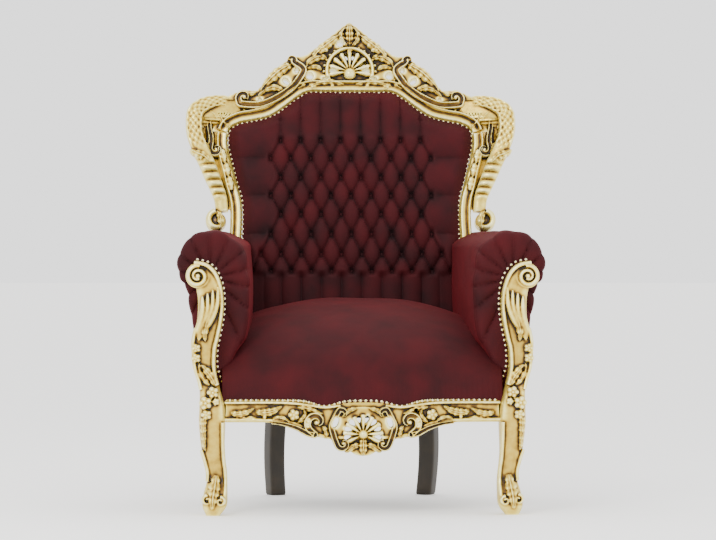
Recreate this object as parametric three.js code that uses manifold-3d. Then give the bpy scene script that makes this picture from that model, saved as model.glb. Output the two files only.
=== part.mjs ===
// A carved, gilded throne chair with velvet upholstery.
// Millimetres, +Z up, the front faces -Y, the origin is under the middle on the floor.
import * as THREE from 'three';
import { mergeVertices } from 'three/addons/utils/BufferGeometryUtils.js';
import Module from 'manifold-3d';

const wasm = await Module();
wasm.setup();

// ---------- driving dimensions ----------
const GAP = 0.4;                          // clearance between neighbouring pieces
const TOLERANCE = 0.45;                   // how far a face may move when needless vertices go
const RECLINE = THREE.MathUtils.degToRad(11.5);
const BACK_FOOT = { y: 200, z: 400 };     // a point of the reclined face of the back
const FRAME_BACK = -26;                   // rear face of the back frame, behind its front face
const PLATE_FRONT = 6;                    // flat ground of the back carving
const MOULDING = { offset: 16, half: 13, height: 15 };   // moulding round the buttoned back
const PAD_BOTTOM = 330;                   // lower end of the upholstered back, behind the seat
const OUTSIDE_BOTTOM = 267;               // lower end of the outside back panel
const SHOULDER = 905;                     // height where the crest rail meets the stiles
const RAIL = { top: 267, bottom: 213.5, dip: 13, thick: 34, bow: 22, halfSpan: 315, front: 366 };
const SIDE_RAIL = { thick: 30, rearX: 262, frontX: 344, rearY: 205 };
const STILE = { width: 34, bottom: 214, innerX: 275 };
const VOLUTE = { x: 379.5, y: 550, radius: 28, front: 386, back: 330 };
const SEAT = { front: -372, rear: 176, crown: 226, edge: 266.5 };
const ARM = { front: 329 };
const REAR_LEG = { x: 187, side: 43, turn: 25, top: 213, topY: 196, footY: 262 };

const GOLD = { color: 0xe2c878, roughness: 0.35, metalness: 0.85 };
const VELVET = { color: 0x64181f, roughness: 0.9, metalness: 0.0 };
const DARK_WOOD = { color: 0x3a3124, roughness: 0.6, metalness: 0.0 };

// ---------- meshes and solids ----------

// Turn a mesh so that its faces point out, and give it shared vertices.
function tidy(geometry) {
  const bare = geometry.clone();
  for (const name of Object.keys(bare.attributes)) {
    if (name !== 'position') bare.deleteAttribute(name);
  }
  const merged = mergeVertices(bare, 1e-4);
  const index = Array.from(merged.index.array);
  const position = merged.attributes.position;
  const a = new THREE.Vector3();
  const b = new THREE.Vector3();
  const c = new THREE.Vector3();
  const kept = [];
  let volume = 0;
  for (let i = 0; i < index.length; i += 3) {
    const [p, q, r] = [index[i], index[i + 1], index[i + 2]];
    if (p === q || q === r || r === p) continue;
    kept.push(p, q, r);
    a.fromBufferAttribute(position, p);
    b.fromBufferAttribute(position, q);
    c.fromBufferAttribute(position, r);
    volume += a.dot(b.cross(c));
  }
  if (volume < 0) {
    for (let i = 0; i < kept.length; i += 3) [kept[i], kept[i + 1]] = [kept[i + 1], kept[i]];
  }
  merged.setIndex(kept);
  return merged;
}

function solid(geometry) {
  const mesh = tidy(geometry);
  return new wasm.Manifold(new wasm.Mesh({
    numProp: 3,
    vertProperties: new Float32Array(mesh.attributes.position.array),
    triVerts: new Uint32Array(mesh.index.array),
  }));
}

function join(geometries) {
  return geometries.map(solid).reduce((whole, piece) => whole.add(piece));
}

function cut(whole, geometries) {
  return geometries.map(solid).reduce((left, piece) => left.subtract(piece), whole);
}

// The outer skin of a solid: small voids where carvings overlap are filled, loose chips dropped.
function toGeometry(manifold) {
  const mesh = manifold.getMesh();
  const geometry = new THREE.BufferGeometry();
  geometry.setAttribute('position', new THREE.BufferAttribute(mesh.vertProperties, 3));
  geometry.setIndex(new THREE.BufferAttribute(mesh.triVerts, 1));
  const merged = mergeVertices(geometry, 1e-4);
  const index = merged.index.array;
  const owner = Array.from({ length: merged.attributes.position.count }, (_, i) => i);
  const root = (i) => {
    let at = i;
    while (owner[at] !== at) at = owner[at];
    owner[i] = at;
    return at;
  };
  for (let i = 0; i < index.length; i += 3) {
    owner[root(index[i + 1])] = root(index[i]);
    owner[root(index[i + 2])] = root(index[i]);
  }
  const skins = new Map();
  for (let i = 0; i < index.length; i += 3) {
    const key = root(index[i]);
    if (!skins.has(key)) skins.set(key, []);
    skins.get(key).push(index[i], index[i + 1], index[i + 2]);
  }
  const largest = [...skins.values()].reduce((best, skin) => (skin.length > best.length ? skin : best));
  merged.setIndex(largest);
  return thin(mergeVertices(merged.toNonIndexed(), 1e-4), TOLERANCE);
}

// Take out vertices that the form doesn't need: a vertex slides onto a neighbour where that
// moves no face by more than the tolerance, turns none over, and keeps the skin closed.
function thin(geometry, tolerance) {
  const points = [];
  for (let i = 0; i < geometry.attributes.position.count; i += 1) {
    points.push(new THREE.Vector3().fromBufferAttribute(geometry.attributes.position, i));
  }
  let faces = [];
  for (let i = 0; i < geometry.index.count; i += 3) {
    faces.push([0, 1, 2].map((k) => geometry.index.getX(i + k)));
  }
  const planes = points.map(() => []);
  for (const face of faces) {
    const plane = new THREE.Plane().setFromCoplanarPoints(...face.map((p) => points[p]));
    face.forEach((p) => planes[p].push(plane));
  }
  const normal = (face) => new THREE.Vector3().subVectors(points[face[1]], points[face[0]])
    .cross(new THREE.Vector3().subVectors(points[face[2]], points[face[0]]));
  let moved = 1;
  while (moved > 0) {
    moved = 0;
    const around = points.map(() => []);
    faces.forEach((face, f) => face.forEach((p) => around[p].push(f)));
    const ring = around.map((list, p) => new Set(list.flatMap((f) => faces[f]).filter((q) => q !== p)));
    const moves = [];
    ring.forEach((near, u) => near.forEach((v) => {
      const away = Math.max(...planes[u].map((plane) => Math.abs(plane.distanceToPoint(points[v]))));
      if (away < tolerance) moves.push([away + 0.01 * points[u].distanceTo(points[v]), u, v]);
    }));
    moves.sort((a, b) => a[0] - b[0]);
    const touched = new Set();
    const gone = new Set();
    for (const [, u, v] of moves) {
      if (touched.has(u) || touched.has(v)) continue;
      if ([...ring[u]].filter((p) => ring[v].has(p)).length !== 2) continue;
      const kept = around[u].filter((f) => !faces[f].includes(v));
      const turned = kept.some((f) => {
        const before = normal(faces[f]);
        const after = normal(faces[f].map((p) => (p === u ? v : p)));
        return after.length() < 0.2 || after.normalize().dot(before.normalize()) < 0.5;
      });
      if (turned) continue;
      around[u].filter((f) => faces[f].includes(v)).forEach((f) => gone.add(f));
      kept.forEach((f) => { faces[f] = faces[f].map((p) => (p === u ? v : p)); });
      planes[v].push(...planes[u]);
      [u, v, ...ring[u], ...ring[v]].forEach((p) => touched.add(p));
      moved += 1;
    }
    faces = faces.filter((_, f) => !gone.has(f));
  }
  const slim = new THREE.BufferGeometry();
  slim.setAttribute('position', geometry.attributes.position);
  slim.setIndex(faces.flat());
  return mergeVertices(slim.toNonIndexed(), 1e-4);
}

function mirrored(geometry) {
  return tidy(geometry.clone().scale(-1, 1, 1));
}

function bothSides(geometries) {
  return [...geometries, ...geometries.map(mirrored)];
}

// ---------- shape helpers, all in a panel frame: x right, y up, z towards the viewer ----------

// Close a stack of rings, which all have the same number of points, into one skin.
// The middle of the last ring may stand out (or in) by a crown along z.
function loft(rings, crown = 0) {
  const count = rings[0].length;
  const positions = rings.flat().flatMap((p) => [p.x, p.y, p.z]);
  const index = [];
  for (let i = 0; i + 1 < rings.length; i += 1) {
    for (let j = 0; j < count; j += 1) {
      const a = i * count + j;
      const b = i * count + (j + 1) % count;
      index.push(a, b, a + count, b, b + count, a + count);
    }
  }
  [rings[0], rings[rings.length - 1]].forEach((ring, end) => {
    const centre = ring.reduce((sum, p) => sum.add(p), new THREE.Vector3()).divideScalar(count);
    const hub = positions.length / 3;
    positions.push(centre.x, centre.y, centre.z + crown * end);
    const first = end * (rings.length - 1) * count;
    for (let j = 0; j < count; j += 1) {
      const a = first + j;
      const b = first + (j + 1) % count;
      if (end === 0) index.push(b, a, hub);
      else index.push(a, b, hub);
    }
  });
  const geometry = new THREE.BufferGeometry();
  geometry.setAttribute('position', new THREE.Float32BufferAttribute(positions, 3));
  geometry.setIndex(index);
  return tidy(geometry);
}

const flat = (points) => points.map(([x, y]) => new THREE.Vector2(x, y));
const spline = (points) => new THREE.SplineCurve(flat(points));

// Points of a spiral that winds in from radius r0 at angle a0 to radius r1 at angle a1 (degrees).
function spiral(cx, cy, r0, r1, a0, a1, count) {
  const points = [];
  for (let i = 0; i <= count; i += 1) {
    const t = i / count;
    const angle = THREE.MathUtils.degToRad(a0 + (a1 - a0) * t);
    const radius = r0 + (r1 - r0) * t;
    points.push([cx + radius * Math.cos(angle), cy + radius * Math.sin(angle)]);
  }
  return points;
}

// Cross-sections: across the path from -1 to 1, and up from the ground, 0, to the crown, 1.
const RIDGE = [[0, 1]];
const BROAD = [[-0.6, 0.9], [0.6, 0.9]];
const COVE = [[0.2, 0.45], [0.75, 1]];

// Carve a moulding, scroll or leaf along a curve that lies in the panel.
function sweep(points, { steps, half, high, ground = () => 0, sink = 4, profile = RIDGE }) {
  const curve = spline(points);
  const rings = [];
  for (let i = 0; i <= steps; i += 1) {
    const t = i / steps;
    const p = curve.getPoint(t);
    const along = curve.getTangent(t);
    const width = half(t);
    const rise = high(t);
    const base = ground(t);
    const edge = (-sink) / Math.max(rise, 1);
    rings.push([[-1, edge], ...profile, [1, edge]].map(([a, b]) => new THREE.Vector3(
      p.x - along.y * a * width, p.y + along.x * a * width, base + b * rise)));
  }
  return loft(rings);
}

const fade = (t, power = 0.6) => Math.max(0.08, Math.sin(Math.PI * Math.min(t, 0.985)) ** power);
const taper = (from, to) => (t) => from + (to - from) * t;
const level = (value) => () => value;

// A pointed leaf with lobed edges, from its stalk to its tip.
function leaf(points, { half, high, lobes = 3, ground = level(0), sink = 4, profile = RIDGE }) {
  const lobed = (t) => {
    const saw = (t * lobes) % 1;
    return half * fade(0.08 + 0.92 * t, 0.7) * (0.72 + 0.28 * Math.sin(Math.PI * saw));
  };
  return sweep(points, {
    steps: lobes * 2 + 1, half: lobed, high: (t) => high * (0.55 + 0.45 * fade(t)), ground, sink, profile,
  });
}

// A flower or rosette: petals round a raised heart.
function flower(cx, cy, radius, high, { petals = 4, ground = 0, sink = 4, around = 8 } = {}) {
  const rings = [[1, -sink / high], [0.8, 1]].map(([r, h]) => {
    const ring = [];
    for (let j = 0; j < around; j += 1) {
      const angle = 2 * Math.PI * j / around;
      const petal = 1 + 0.18 * Math.cos(petals * angle);
      ring.push(new THREE.Vector3(
        cx + radius * r * petal * Math.cos(angle), cy + radius * r * petal * Math.sin(angle),
        ground + h * high));
    }
    return ring;
  });
  return loft(rings, -high * 0.4);
}

// A smooth low boss.
function boss(cx, cy, radius, high, { ground = 0, sink = 4, around = 7 } = {}) {
  const rings = [[1.1, -sink / high], [0.75, 0.75]].map(([r, h]) => {
    const ring = [];
    for (let j = 0; j < around; j += 1) {
      const angle = 2 * Math.PI * j / around;
      ring.push(new THREE.Vector3(
        cx + radius * r * Math.cos(angle), cy + radius * r * Math.sin(angle), ground + h * high));
    }
    return ring;
  });
  return loft(rings, high * 0.25);
}

// The ribs of a scallop shell that opens from its hinge at (cx, cy).
function shell(cx, cy, { ribs, from, to, inner, outer, high, ground }) {
  const pieces = [];
  for (let i = 0; i < ribs; i += 1) {
    const angle = THREE.MathUtils.degToRad(from + (to - from) * i / (ribs - 1));
    const spread = THREE.MathUtils.degToRad(Math.abs(to - from) / (ribs - 1)) * 0.36;
    const at = (r) => [cx + r * Math.cos(angle), cy + r * Math.sin(angle)];
    pieces.push(sweep([at(inner), at((inner + outer) / 2), at(outer)], {
      steps: 1,
      half: (t) => (inner + (outer - inner) * t) * spread * 1.2,
      high: (t) => high * (0.7 + 0.3 * Math.sin(Math.PI * t)),
      ground: level(ground),
    }));
  }
  return pieces;
}

// The slots that pierce a shell between its ribs.
function shellSlots(cx, cy, { ribs, from, to, inner, outer, deep }) {
  const slots = [];
  for (let i = 0; i + 1 < ribs; i += 1) {
    const angle = THREE.MathUtils.degToRad(from + (to - from) * (i + 0.5) / (ribs - 1));
    const spread = THREE.MathUtils.degToRad(Math.abs(to - from) / (ribs - 1)) * 0.3;
    slots.push(prism([-1, 1, 1, -1].map((side, k) => {
      const r = k < 2 ? inner : outer;
      return [cx + r * Math.cos(angle + side * spread), cy + r * Math.sin(angle + side * spread)];
    }), -deep, deep));
  }
  return slots;
}

// A flat-sided solid between two depths.
function prism(points, low, high) {
  const geometry = new THREE.ExtrudeGeometry(new THREE.Shape(flat(points)), {
    depth: high - low, bevelEnabled: false,
  });
  return tidy(geometry.translate(0, 0, low));
}

// A pierced hole, as the round or oval plug that is cut away.
function plug(cx, cy, rx, ry = rx, turn = 0, deep = 60, around = 7) {
  const turned = THREE.MathUtils.degToRad(turn);
  const points = [];
  for (let j = 0; j < around; j += 1) {
    const angle = 2 * Math.PI * (j + 0.5) / around;
    const [x, y] = [rx * Math.cos(angle), ry * Math.sin(angle)];
    points.push([
      cx + x * Math.cos(turned) - y * Math.sin(turned), cy + x * Math.sin(turned) + y * Math.cos(turned),
    ]);
  }
  return prism(points, -deep, deep);
}

// ---------- back frame: panel coordinates, but heights are given above the floor ----------
const rise = (height) => (height - BACK_FOOT.z) / Math.cos(RECLINE);
const raised = (points) => points.map(([x, height]) => [x, rise(height)]);

// Right half of the line of nails round the buttoned back, from the top centre down.
const NAIL_LINE = raised([
  [0, 1007], [60, 1007], [100, 1007], [126, 996], [163, 968], [201, 944], [240, 934], [276, 927],
  [301, 912], [307, 884], [303, 849], [293.5, 812], [284.5, 775], [276, 745], [271.5, 716],
  [271, 679], [273, 640], [276, 560], [277, 470], [277, 380], [275, 300], [275, 262],
]);
// Right half of the top edge of the cresting, from the finial to where it meets the wing.
const CREST_EDGE = raised([
  [0, 1183], [15, 1173], [34, 1158], [52, 1143], [74, 1126], [94, 1110], [114, 1098], [137, 1093.5],
  [160, 1083], [178, 1066], [194, 1051], [216, 1028], [232, 1010], [250, 1009], [268, 1009],
  [284, 1004], [300, 997], [318, 993],
]);
// Outer corner of the crest rail, which the wing is fixed against.
const CREST_CORNER = raised([[318, 993], [344, 976], [350, 942], [346, SHOULDER]]);

function besideLine(points, distance) {
  const curve = spline(points);
  const along = [];
  const count = points.length * 2;
  for (let i = 0; i <= count; i += 1) {
    const p = curve.getPoint(i / count);
    const t = curve.getTangent(i / count);
    along.push([p.x - t.y * distance, p.y + t.x * distance]);
  }
  return along;
}

function smooth(points, count) {
  return spline(points).getPoints(count).map((p) => [p.x, p.y]);
}

function between(points, low, high) {
  return points.filter(([, y]) => y >= low && y <= high);
}

const nailLine = smooth(NAIL_LINE, 22);
const shoulder = rise(SHOULDER);
const mouldingLine = besideLine(NAIL_LINE, MOULDING.offset);

function mouldingSweep(points, steps) {
  return sweep(points, {
    steps, half: level(MOULDING.half), high: level(MOULDING.height), ground: level(PLATE_FRONT),
    profile: COVE, sink: 6,
  });
}

function crestRail() {
  const lower = nailLine.filter(([, y]) => y > shoulder);
  const upper = smooth(CREST_EDGE, 20);
  const corner = [...CREST_CORNER.slice(1, 3), [CREST_CORNER[3][0], shoulder + GAP]];
  const lastNail = [insideEdge(shoulder + GAP), shoulder + GAP];
  const half = [...upper, ...corner, lastNail, ...lower.reverse()];
  const plate = prism([...half, ...half.slice(1, -1).reverse().map(([x, y]) => [-x, y])],
    FRAME_BACK, PLATE_FRONT);
  const moulding = mouldingLine.filter(([, y]) => y > shoulder - 8);
  const ground = level(PLATE_FRONT);

  // The great C-scroll that runs down the shoulder and ends in a volute at each end.
  const scroll = sweep([
    ...spiral(149, rise(1084), 5, 11, 30, 200, 4),
    ...raised([[117, 1062], [128, 1037], [148, 1013], [184, 989], [227, 972]]),
    ...spiral(266, rise(989), 17, 6, -70, 170, 6),
  ], {
    steps: 16, half: (t) => 11 * fade(0.12 + 0.82 * t, 0.5), high: level(16), ground,
  });
  const side = [
    scroll,
    boss(265, rise(990), 6, 15, { ground: PLATE_FRONT, around: 7 }),
    leaf(raised([[150, 1075], [176, 1056], [199, 1036], [222, 1010]]),
      { half: 14, high: 13, lobes: 4, ground }),
    leaf(raised([[166, 1008], [185, 1014], [206, 1012], [232, 996]]),
      { half: 9, high: 10, lobes: 3, ground }),
    leaf(raised([[54, 1090], [78, 1092], [101, 1080], [112, 1061]]),
      { half: 9, high: 12, lobes: 3, ground }),
    leaf(raised([[18, 1024], [46, 1031], [76, 1028], [104, 1022]]),
      { half: 9, high: 9, lobes: 3, ground }),
    leaf(raised([[90, 1092], [74, 1112], [48, 1130], [22, 1152]]),
      { half: 12, high: 13, lobes: 4, ground }),
    flower(66, rise(1117), 13, 17, { ground: PLATE_FRONT }),
    flower(93, rise(1023), 11, 12, { ground: PLATE_FRONT }),
    flower(276, rise(954), 9, 8, { ground: PLATE_FRONT }),
  ];
  const centre = [
    mouldingSweep([...moulding.map(([x, y]) => [-x, y]).reverse(), ...moulding.slice(1)], 24),
    leaf(raised([[0, 1124], [0, 1146], [0, 1181]]), { half: 19, high: 17, lobes: 3, ground }),
    boss(0, rise(1052), 17, 16, { ground: PLATE_FRONT }),
    ...shell(0, rise(1057), {
      ribs: 7, from: -8, to: 188, inner: 8, outer: 49, high: 14, ground: PLATE_FRONT,
    }),
    sweep(spiral(0, rise(1060), 57, 57, -22, 202, 10), {
      steps: 10, half: level(7), high: level(13), ground,
    }),
  ];
  const pierced = [
    ...bothSides([
      jointBlock(shoulder - 60, shoulder + GAP),
      plug(23.5, rise(1131), 9.5),
      plug(100, rise(1048), 9.5),
      plug(60, rise(1041), 9, 3.5),
      plug(160, rise(1034), 7.5, 11.5, -45),
      plug(133, rise(1062), 6),
      plug(226, rise(985), 5, 5, 0, 60, 6),
    ]),
    ...shellSlots(0, rise(1057), { ribs: 7, from: -8, to: 188, inner: 29, outer: 47, deep: 60 }),
  ];
  return cut(join([plate, ...bothSides(side), ...centre]), pierced);
}

// A block over the shoulder joint, which parts the crest rail from a stile.
const jointBlock = (low, high) => prism([[200, low], [400, low], [400, high], [200, high]], -90, 90);

// Section of a stile at one height: its inner edge follows the nails.
function stileRings(grow, front = PLATE_FRONT) {
  const heights = nailLine.map(([, y]) => y).filter((y) => y < shoulder && y > rise(PAD_BOTTOM + 5));
  return [shoulder, ...heights, rise(PAD_BOTTOM), rise(OUTSIDE_BOTTOM), rise(STILE.bottom + 2)].map((y) => {
    const x = insideEdge(y);
    const low = FRAME_BACK - grow;
    const high = front + grow;
    const [near, far] = [x - grow, x + STILE.width - 4 + grow];
    return [[near, low], [far, low], [far, high - 5], [far - 4, high], [near, high]]
      .map(([px, z]) => new THREE.Vector3(px, y, z));
  });
}

// How far from the middle the nails run at one height of the back.
function insideEdge(y) {
  for (let i = 1; i < nailLine.length; i += 1) {
    const [x0, y0] = nailLine[i - 1];
    const [x1, y1] = nailLine[i];
    if (y0 > y && y1 <= y && x0 > 250) return x0 + (x1 - x0) * (y0 - y) / (y0 - y1);
  }
  return STILE.innerX;
}

function stile() {
  const line = mouldingLine.filter(([x, y]) => y < shoulder - 2 && x > 200);
  const start = [insideEdge(shoulder) + MOULDING.offset, shoulder - 0.2];
  const whole = join([loft(stileRings(0)), mouldingSweep([start, ...line.slice(1)], 14)]);
  return cut(whole, [jointBlock(shoulder, shoulder + 60)]);
}

// A value that runs evenly through a list as t goes from 0 to 1.
function along(values) {
  return (t) => {
    const place = Math.min(Math.max(t, 0), 1) * (values.length - 1);
    const i = Math.min(Math.floor(place), values.length - 2);
    return values[i] + (values[i + 1] - values[i]) * (place - i);
  };
}

// Right-hand wing: a broad band that stands forward of the stile, with a hollow web behind it.
function wing() {
  const bandLine = raised([
    [306, 982], [332, 981], [362, 971], [384, 950], [391, 918], [388, 884], [379, 852], [366, 820],
    [353, 788], [338, 757], [325, 728], [319, 700],
  ]);
  const bandGround = along([6, 18, 34, 46, 52, 50, 44, 36, 26, 18, 10, 6]);
  const ribbed = (t) => (t > 0.55 ? 6 * Math.abs(Math.sin(Math.PI * (t - 0.55) * 11)) : 0);
  const band = sweep(bandLine, {
    steps: 16,
    half: along([13, 14, 17, 21, 21, 20, 17, 15, 13, 11, 11, 10]),
    high: (t) => 9 + ribbed(t) + (t < 0.5 ? 3 * Math.abs(Math.sin(Math.PI * t * 10)) : 0),
    ground: bandGround, sink: 14, profile: BROAD,
  });
  const webRings = [982, 950, 915, 880, 845, 812].map((height) => {
    const y = rise(height);
    const inner = Math.max(insideEdge(y) + 22, height > SHOULDER ? 336 : 0);
    const i = bandLine.findIndex(([, py], k) => k > 2 && py < y);
    const outer = bandLine[Math.max(i, 2)][0];
    const front = bandGround(Math.max(i, 2) / (bandLine.length - 1));
    const middle = (inner + outer) / 2;
    const hollow = front * 0.3;
    return [[inner, 2], [middle, hollow], [outer, front], [outer, front - 10], [inner, -10]].map(([x, z]) => new THREE.Vector3(x, y, z));
  });
  const scroll = sweep([
    ...raised([[338, 972], [350, 950], [352, 918], [348, 888]]),
    ...spiral(339, rise(862), 13, 5, 20, -230, 5),
  ], { steps: 12, half: (t) => 9 * fade(0.1 + 0.85 * t, 0.5), high: level(16), ground: level(8), sink: 14 });
  const beads = [926, 898, 870].map((height) => (
    boss(369 - (932 - height) * 0.12, rise(height), 6, 10, { ground: 34, sink: 18, around: 6 })));
  const footCurl = sweep(spiral(333, rise(682), 24, 9, 70, -230, 8), {
    steps: 10, half: along([9, 8, 6, 5]), high: level(18), ground: level(6), sink: 16,
  });
  const foot = [
    footCurl,
    boss(333, rise(682), 20, 8, { ground: 6, sink: 16 }),
    leaf(raised([[372, 846], [382, 858], [394, 872], [404, 892]]),
      { half: 13, high: 10, lobes: 2, ground: level(50), sink: 14 }),
  ];
  const web = loft(webRings);
  const slots = [
    plug(362, rise(920), 4.5, 8, 8),
    plug(360, rise(896), 4.5, 8, 8),
    plug(356, rise(872), 4, 7, 8),
  ];
  const neighbours = [
    loft(stileRings(2).map((ring) => ring.map((p) => (
      new THREE.Vector3(p.x, p.y, Math.sign(p.z) * 90))))),
    prism([[200, shoulder - 1], ...CREST_CORNER.map(([x, y]) => [x + GAP, y + GAP]).reverse(),
      [318, rise(1010)], [200, rise(1010)]], -90, 90),
  ];
  return cut(join([web, band, scroll, ...beads, ...foot]), [...slots, ...neighbours]);
}

// ---------- seat frame and posts: panel coordinates, z is the distance in front of the middle ----------

const bow = (x) => RAIL.bow * Math.cos(Math.PI * x / (2 * RAIL.halfSpan)) ** 2;
const railTop = (x) => RAIL.top - RAIL.dip * Math.exp(-(((Math.abs(x) - 88) / 34) ** 2));
const railBottom = (x) => RAIL.bottom - 39 / (1 + Math.exp((Math.abs(x) - 132) / 17));

function bent(geometry) {
  const moved = geometry.clone();
  const position = moved.attributes.position;
  for (let i = 0; i < position.count; i += 1) {
    position.setZ(i, position.getZ(i) + bow(position.getX(i)));
  }
  return moved;
}

function frontRail() {
  const rings = [];
  const sections = 24;
  for (let i = 0; i <= sections; i += 1) {
    const x = RAIL.halfSpan * (2 * i / sections - 1);
    const [low, high] = [railBottom(x), railTop(x)];
    const front = RAIL.front;
    rings.push([
      [low, front - RAIL.thick], [low, front + 3], [low + 10, front - 3],
      [high, front - 3], [high, front - RAIL.thick],
    ].map(([y, z]) => new THREE.Vector3(x, y, z)));
  }
  const ground = level(RAIL.front - 3);
  const cartoucheHalf = smooth([
    [0, 137], [16, 139], [30, 147], [46, 150], [60, 160], [72, 172], [80, 190], [79, 208], [70, 226],
    [54, 240], [30, 248], [0, 250],
  ], 14);
  const cartouche = prism([
    ...cartoucheHalf, ...cartoucheHalf.slice(1, -1).reverse().map(([x, y]) => [-x, y]),
  ], RAIL.front - 24, RAIL.front + 1);
  const hinge = [0, 186];
  const side = [
    sweep([
      [208, 213], [182, 209], [152, 200], [128, 188], [110, 184],
      ...spiral(107, 214, 25, 7, -60, 210, 7),
    ], { steps: 13, half: (t) => 10 * fade(0.15 + 0.8 * t, 0.5), high: level(16), ground }),
    sweep([
      ...spiral(48, 233, 6, 12, 200, 60, 3), [64, 224], [72, 205], [68, 184],
      ...spiral(46, 166, 15, 5, -10, -230, 5),
    ], {
      steps: 11, half: (t) => 8 * fade(0.15 + 0.8 * t, 0.5), high: level(15),
      ground: level(RAIL.front - 2),
    }),
    leaf([[242, 240], [222, 235], [204, 240], [186, 252]], { half: 10, high: 10, lobes: 3, ground }),
    leaf([[150, 248], [128, 244], [112, 238], [96, 232]], { half: 7, high: 10, lobes: 2, ground }),
    flower(158, 232, 13, 14, { ground: RAIL.front - 3 }),
    leaf([[8, 160], [22, 158], [34, 150], [40, 146]], { half: 8, high: 12, lobes: 2, ground }),
  ];
  const centre = [
    ...shell(...hinge, {
      ribs: 7, from: -22, to: 202, inner: 8, outer: 44, high: 14, ground: RAIL.front - 4,
    }),
    boss(...hinge, 14, 16, { ground: RAIL.front - 3 }),
    leaf([[0, 176], [0, 158], [0, 139]], { half: 12, high: 15, lobes: 2, ground }),
  ];
  const pierced = [
    ...bothSides([
      plug(62, 213, 5, 12, 20, 500), plug(122, 242, 5, 5, 0, 500, 6), plug(128, 214, 5, 7, -30, 500, 6),
      plug(38, 182, 5, 5, 0, 500, 6),
    ]),
    ...shellSlots(...hinge, { ribs: 7, from: -22, to: 202, inner: 26, outer: 43, deep: 500 }),
  ];
  return cut(join([loft(rings), cartouche, ...bothSides(side), ...centre].map(bent)), pierced);
}

// One row for each height of a front post: height, inner edge, outer edge, front, thickness.
const POST_ROWS = [
  [0, 329, 360, 386, 44], [22, 313, 369, 394, 56], [50, 311, 366, 386, 56], [84, 312, 358, 368, 46],
  [118, 316, 363, 366, 46], [150, 318, 371, 371, 54], [209, 316, 377, 386, 72], [250, 318, 376, 393, 76],
  [290, 328, 376, 388, 70], [334, 338, 388, 378, 58], [378, 338, 393, 372, 52], [411, 331, 389, 370, 50],
  [449, 323, 381, 372, 50], [488, 320, 379, 378, 52], [520, 324, 383, 384, 54], [548, 334, 394, 386, 54],
  [568, 352, 400, 385, 53], [577, 368, 394, 384, 52],
];

function postLoft(grow) {
  return loft(POST_ROWS.map(([y, inner, outer, front, thick]) => {
    const [x0, x1] = [inner - grow, outer + grow];
    const [z0, z1] = [front - thick - grow, front + grow];
    const corner = Math.min(x1 - x0, z1 - z0) * 0.24;
    const hollow = 3;
    return [
      [x0, z0], [x1 - corner, z0], [x1, z0 + corner], [x1, z1 - corner], [x1 - corner, z1],
      [(x0 + x1) / 2, z1 - hollow], [x0, z1 - 2],
    ].map(([x, z]) => new THREE.Vector3(x, y, z));
  }));
}

// Where the front of a post stands at one height.
function postFront(height) {
  const i = POST_ROWS.findIndex(([y]) => y >= height);
  if (i <= 0) return POST_ROWS[0][3];
  const [y0, , , z0] = POST_ROWS[i - 1];
  const [y1, , , z1] = POST_ROWS[i];
  return z0 + (z1 - z0) * (height - y0) / (y1 - y0);
}

function frontPost() {
  const onFront = (low, high) => (t) => postFront(low + (high - low) * t) - 4;
  const fillet = sweep([
    [386, 579], [360, 574], [340, 556], [328, 524], [325, 488], [328, 449], [336, 411], [343, 378],
    [343, 334], [336, 302],
  ], {
    steps: 10, half: level(5), high: level(9), ground: (t) => postFront(579 - 277 * t ** 0.8) - 5,
  });
  const scroll = sweep(spiral(VOLUTE.x, VOLUTE.y, VOLUTE.radius - 4, 12, 100, -330, 12), {
    steps: 12, half: along([6, 7, 7, 5]), high: level(10), ground: level(VOLUTE.front - 5),
  });
  const drum = loft([VOLUTE.back, VOLUTE.front].map((z, i) => {
    const ring = [];
    const radius = VOLUTE.radius - 2 * i;
    for (let j = 0; j < 12; j += 1) {
      const angle = 2 * Math.PI * j / 12;
      ring.push(new THREE.Vector3(
        VOLUTE.x + radius * Math.cos(angle), VOLUTE.y + radius * Math.sin(angle), z));
    }
    return ring;
  }));
  const acanthus = [0, 1, 2].map((i) => sweep([
    [334 + i * 13, 520 - i * 8], [336 + i * 12, 486 - i * 5], [349 + i * 9, 452 - i * 2],
    [366 + i * 6, 424], [379 + i * 2, 402 + i * 3],
  ], {
    steps: 6, half: (t) => 8 * fade(0.12 + 0.8 * t, 0.6), high: level(9), ground: onFront(520, 400),
  }));
  const husks = [212, 188, 164].map((height, i) => leaf([
    [366, height + 16], [367, height + 2], [366 - i, height - 12],
  ], { half: 8.5 - i, high: 12, lobes: 1, ground: level(postFront(height) - 3) }));
  const blooms = [
    flower(384, 383, 10, 12, { ground: postFront(383) - 6 }),
    flower(384, 360, 11, 14, { ground: postFront(360) - 6 }),
    flower(344, 282, 14, 14, { ground: postFront(282) - 4 }),
    flower(362, 258, 15, 15, { ground: postFront(258) - 4 }),
    flower(361, 232, 12, 13, { ground: postFront(232) - 4 }),
  ];
  const knee = [
    leaf([[340, 300], [350, 322], [366, 338]],
      { half: 11, high: 8, lobes: 2, ground: level(postFront(320) - 3) }),
  ];
  const legFillet = sweep([[325, 208], [324, 170], [322, 130], [318, 96], [318, 60], [322, 30]], {
    steps: 7, half: level(5), high: level(8), ground: onFront(208, 30),
  });
  const toe = [
    leaf([[338, 84], [342, 62], [346, 40], [348, 20]],
      { half: 15, high: 10, lobes: 2, ground: onFront(84, 20) }),
    boss(357, 38, 13, 10, { ground: postFront(38) - 8 }),
    boss(330, 34, 12, 10, { ground: postFront(34) - 8 }),
  ];
  return join([
    postLoft(0), drum, fillet, scroll, boss(VOLUTE.x, VOLUTE.y, 10, 13, { ground: VOLUTE.front - 2 }),
    ...acanthus, ...husks, ...blooms, ...knee, legFillet, ...toe,
  ]);
}

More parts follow.
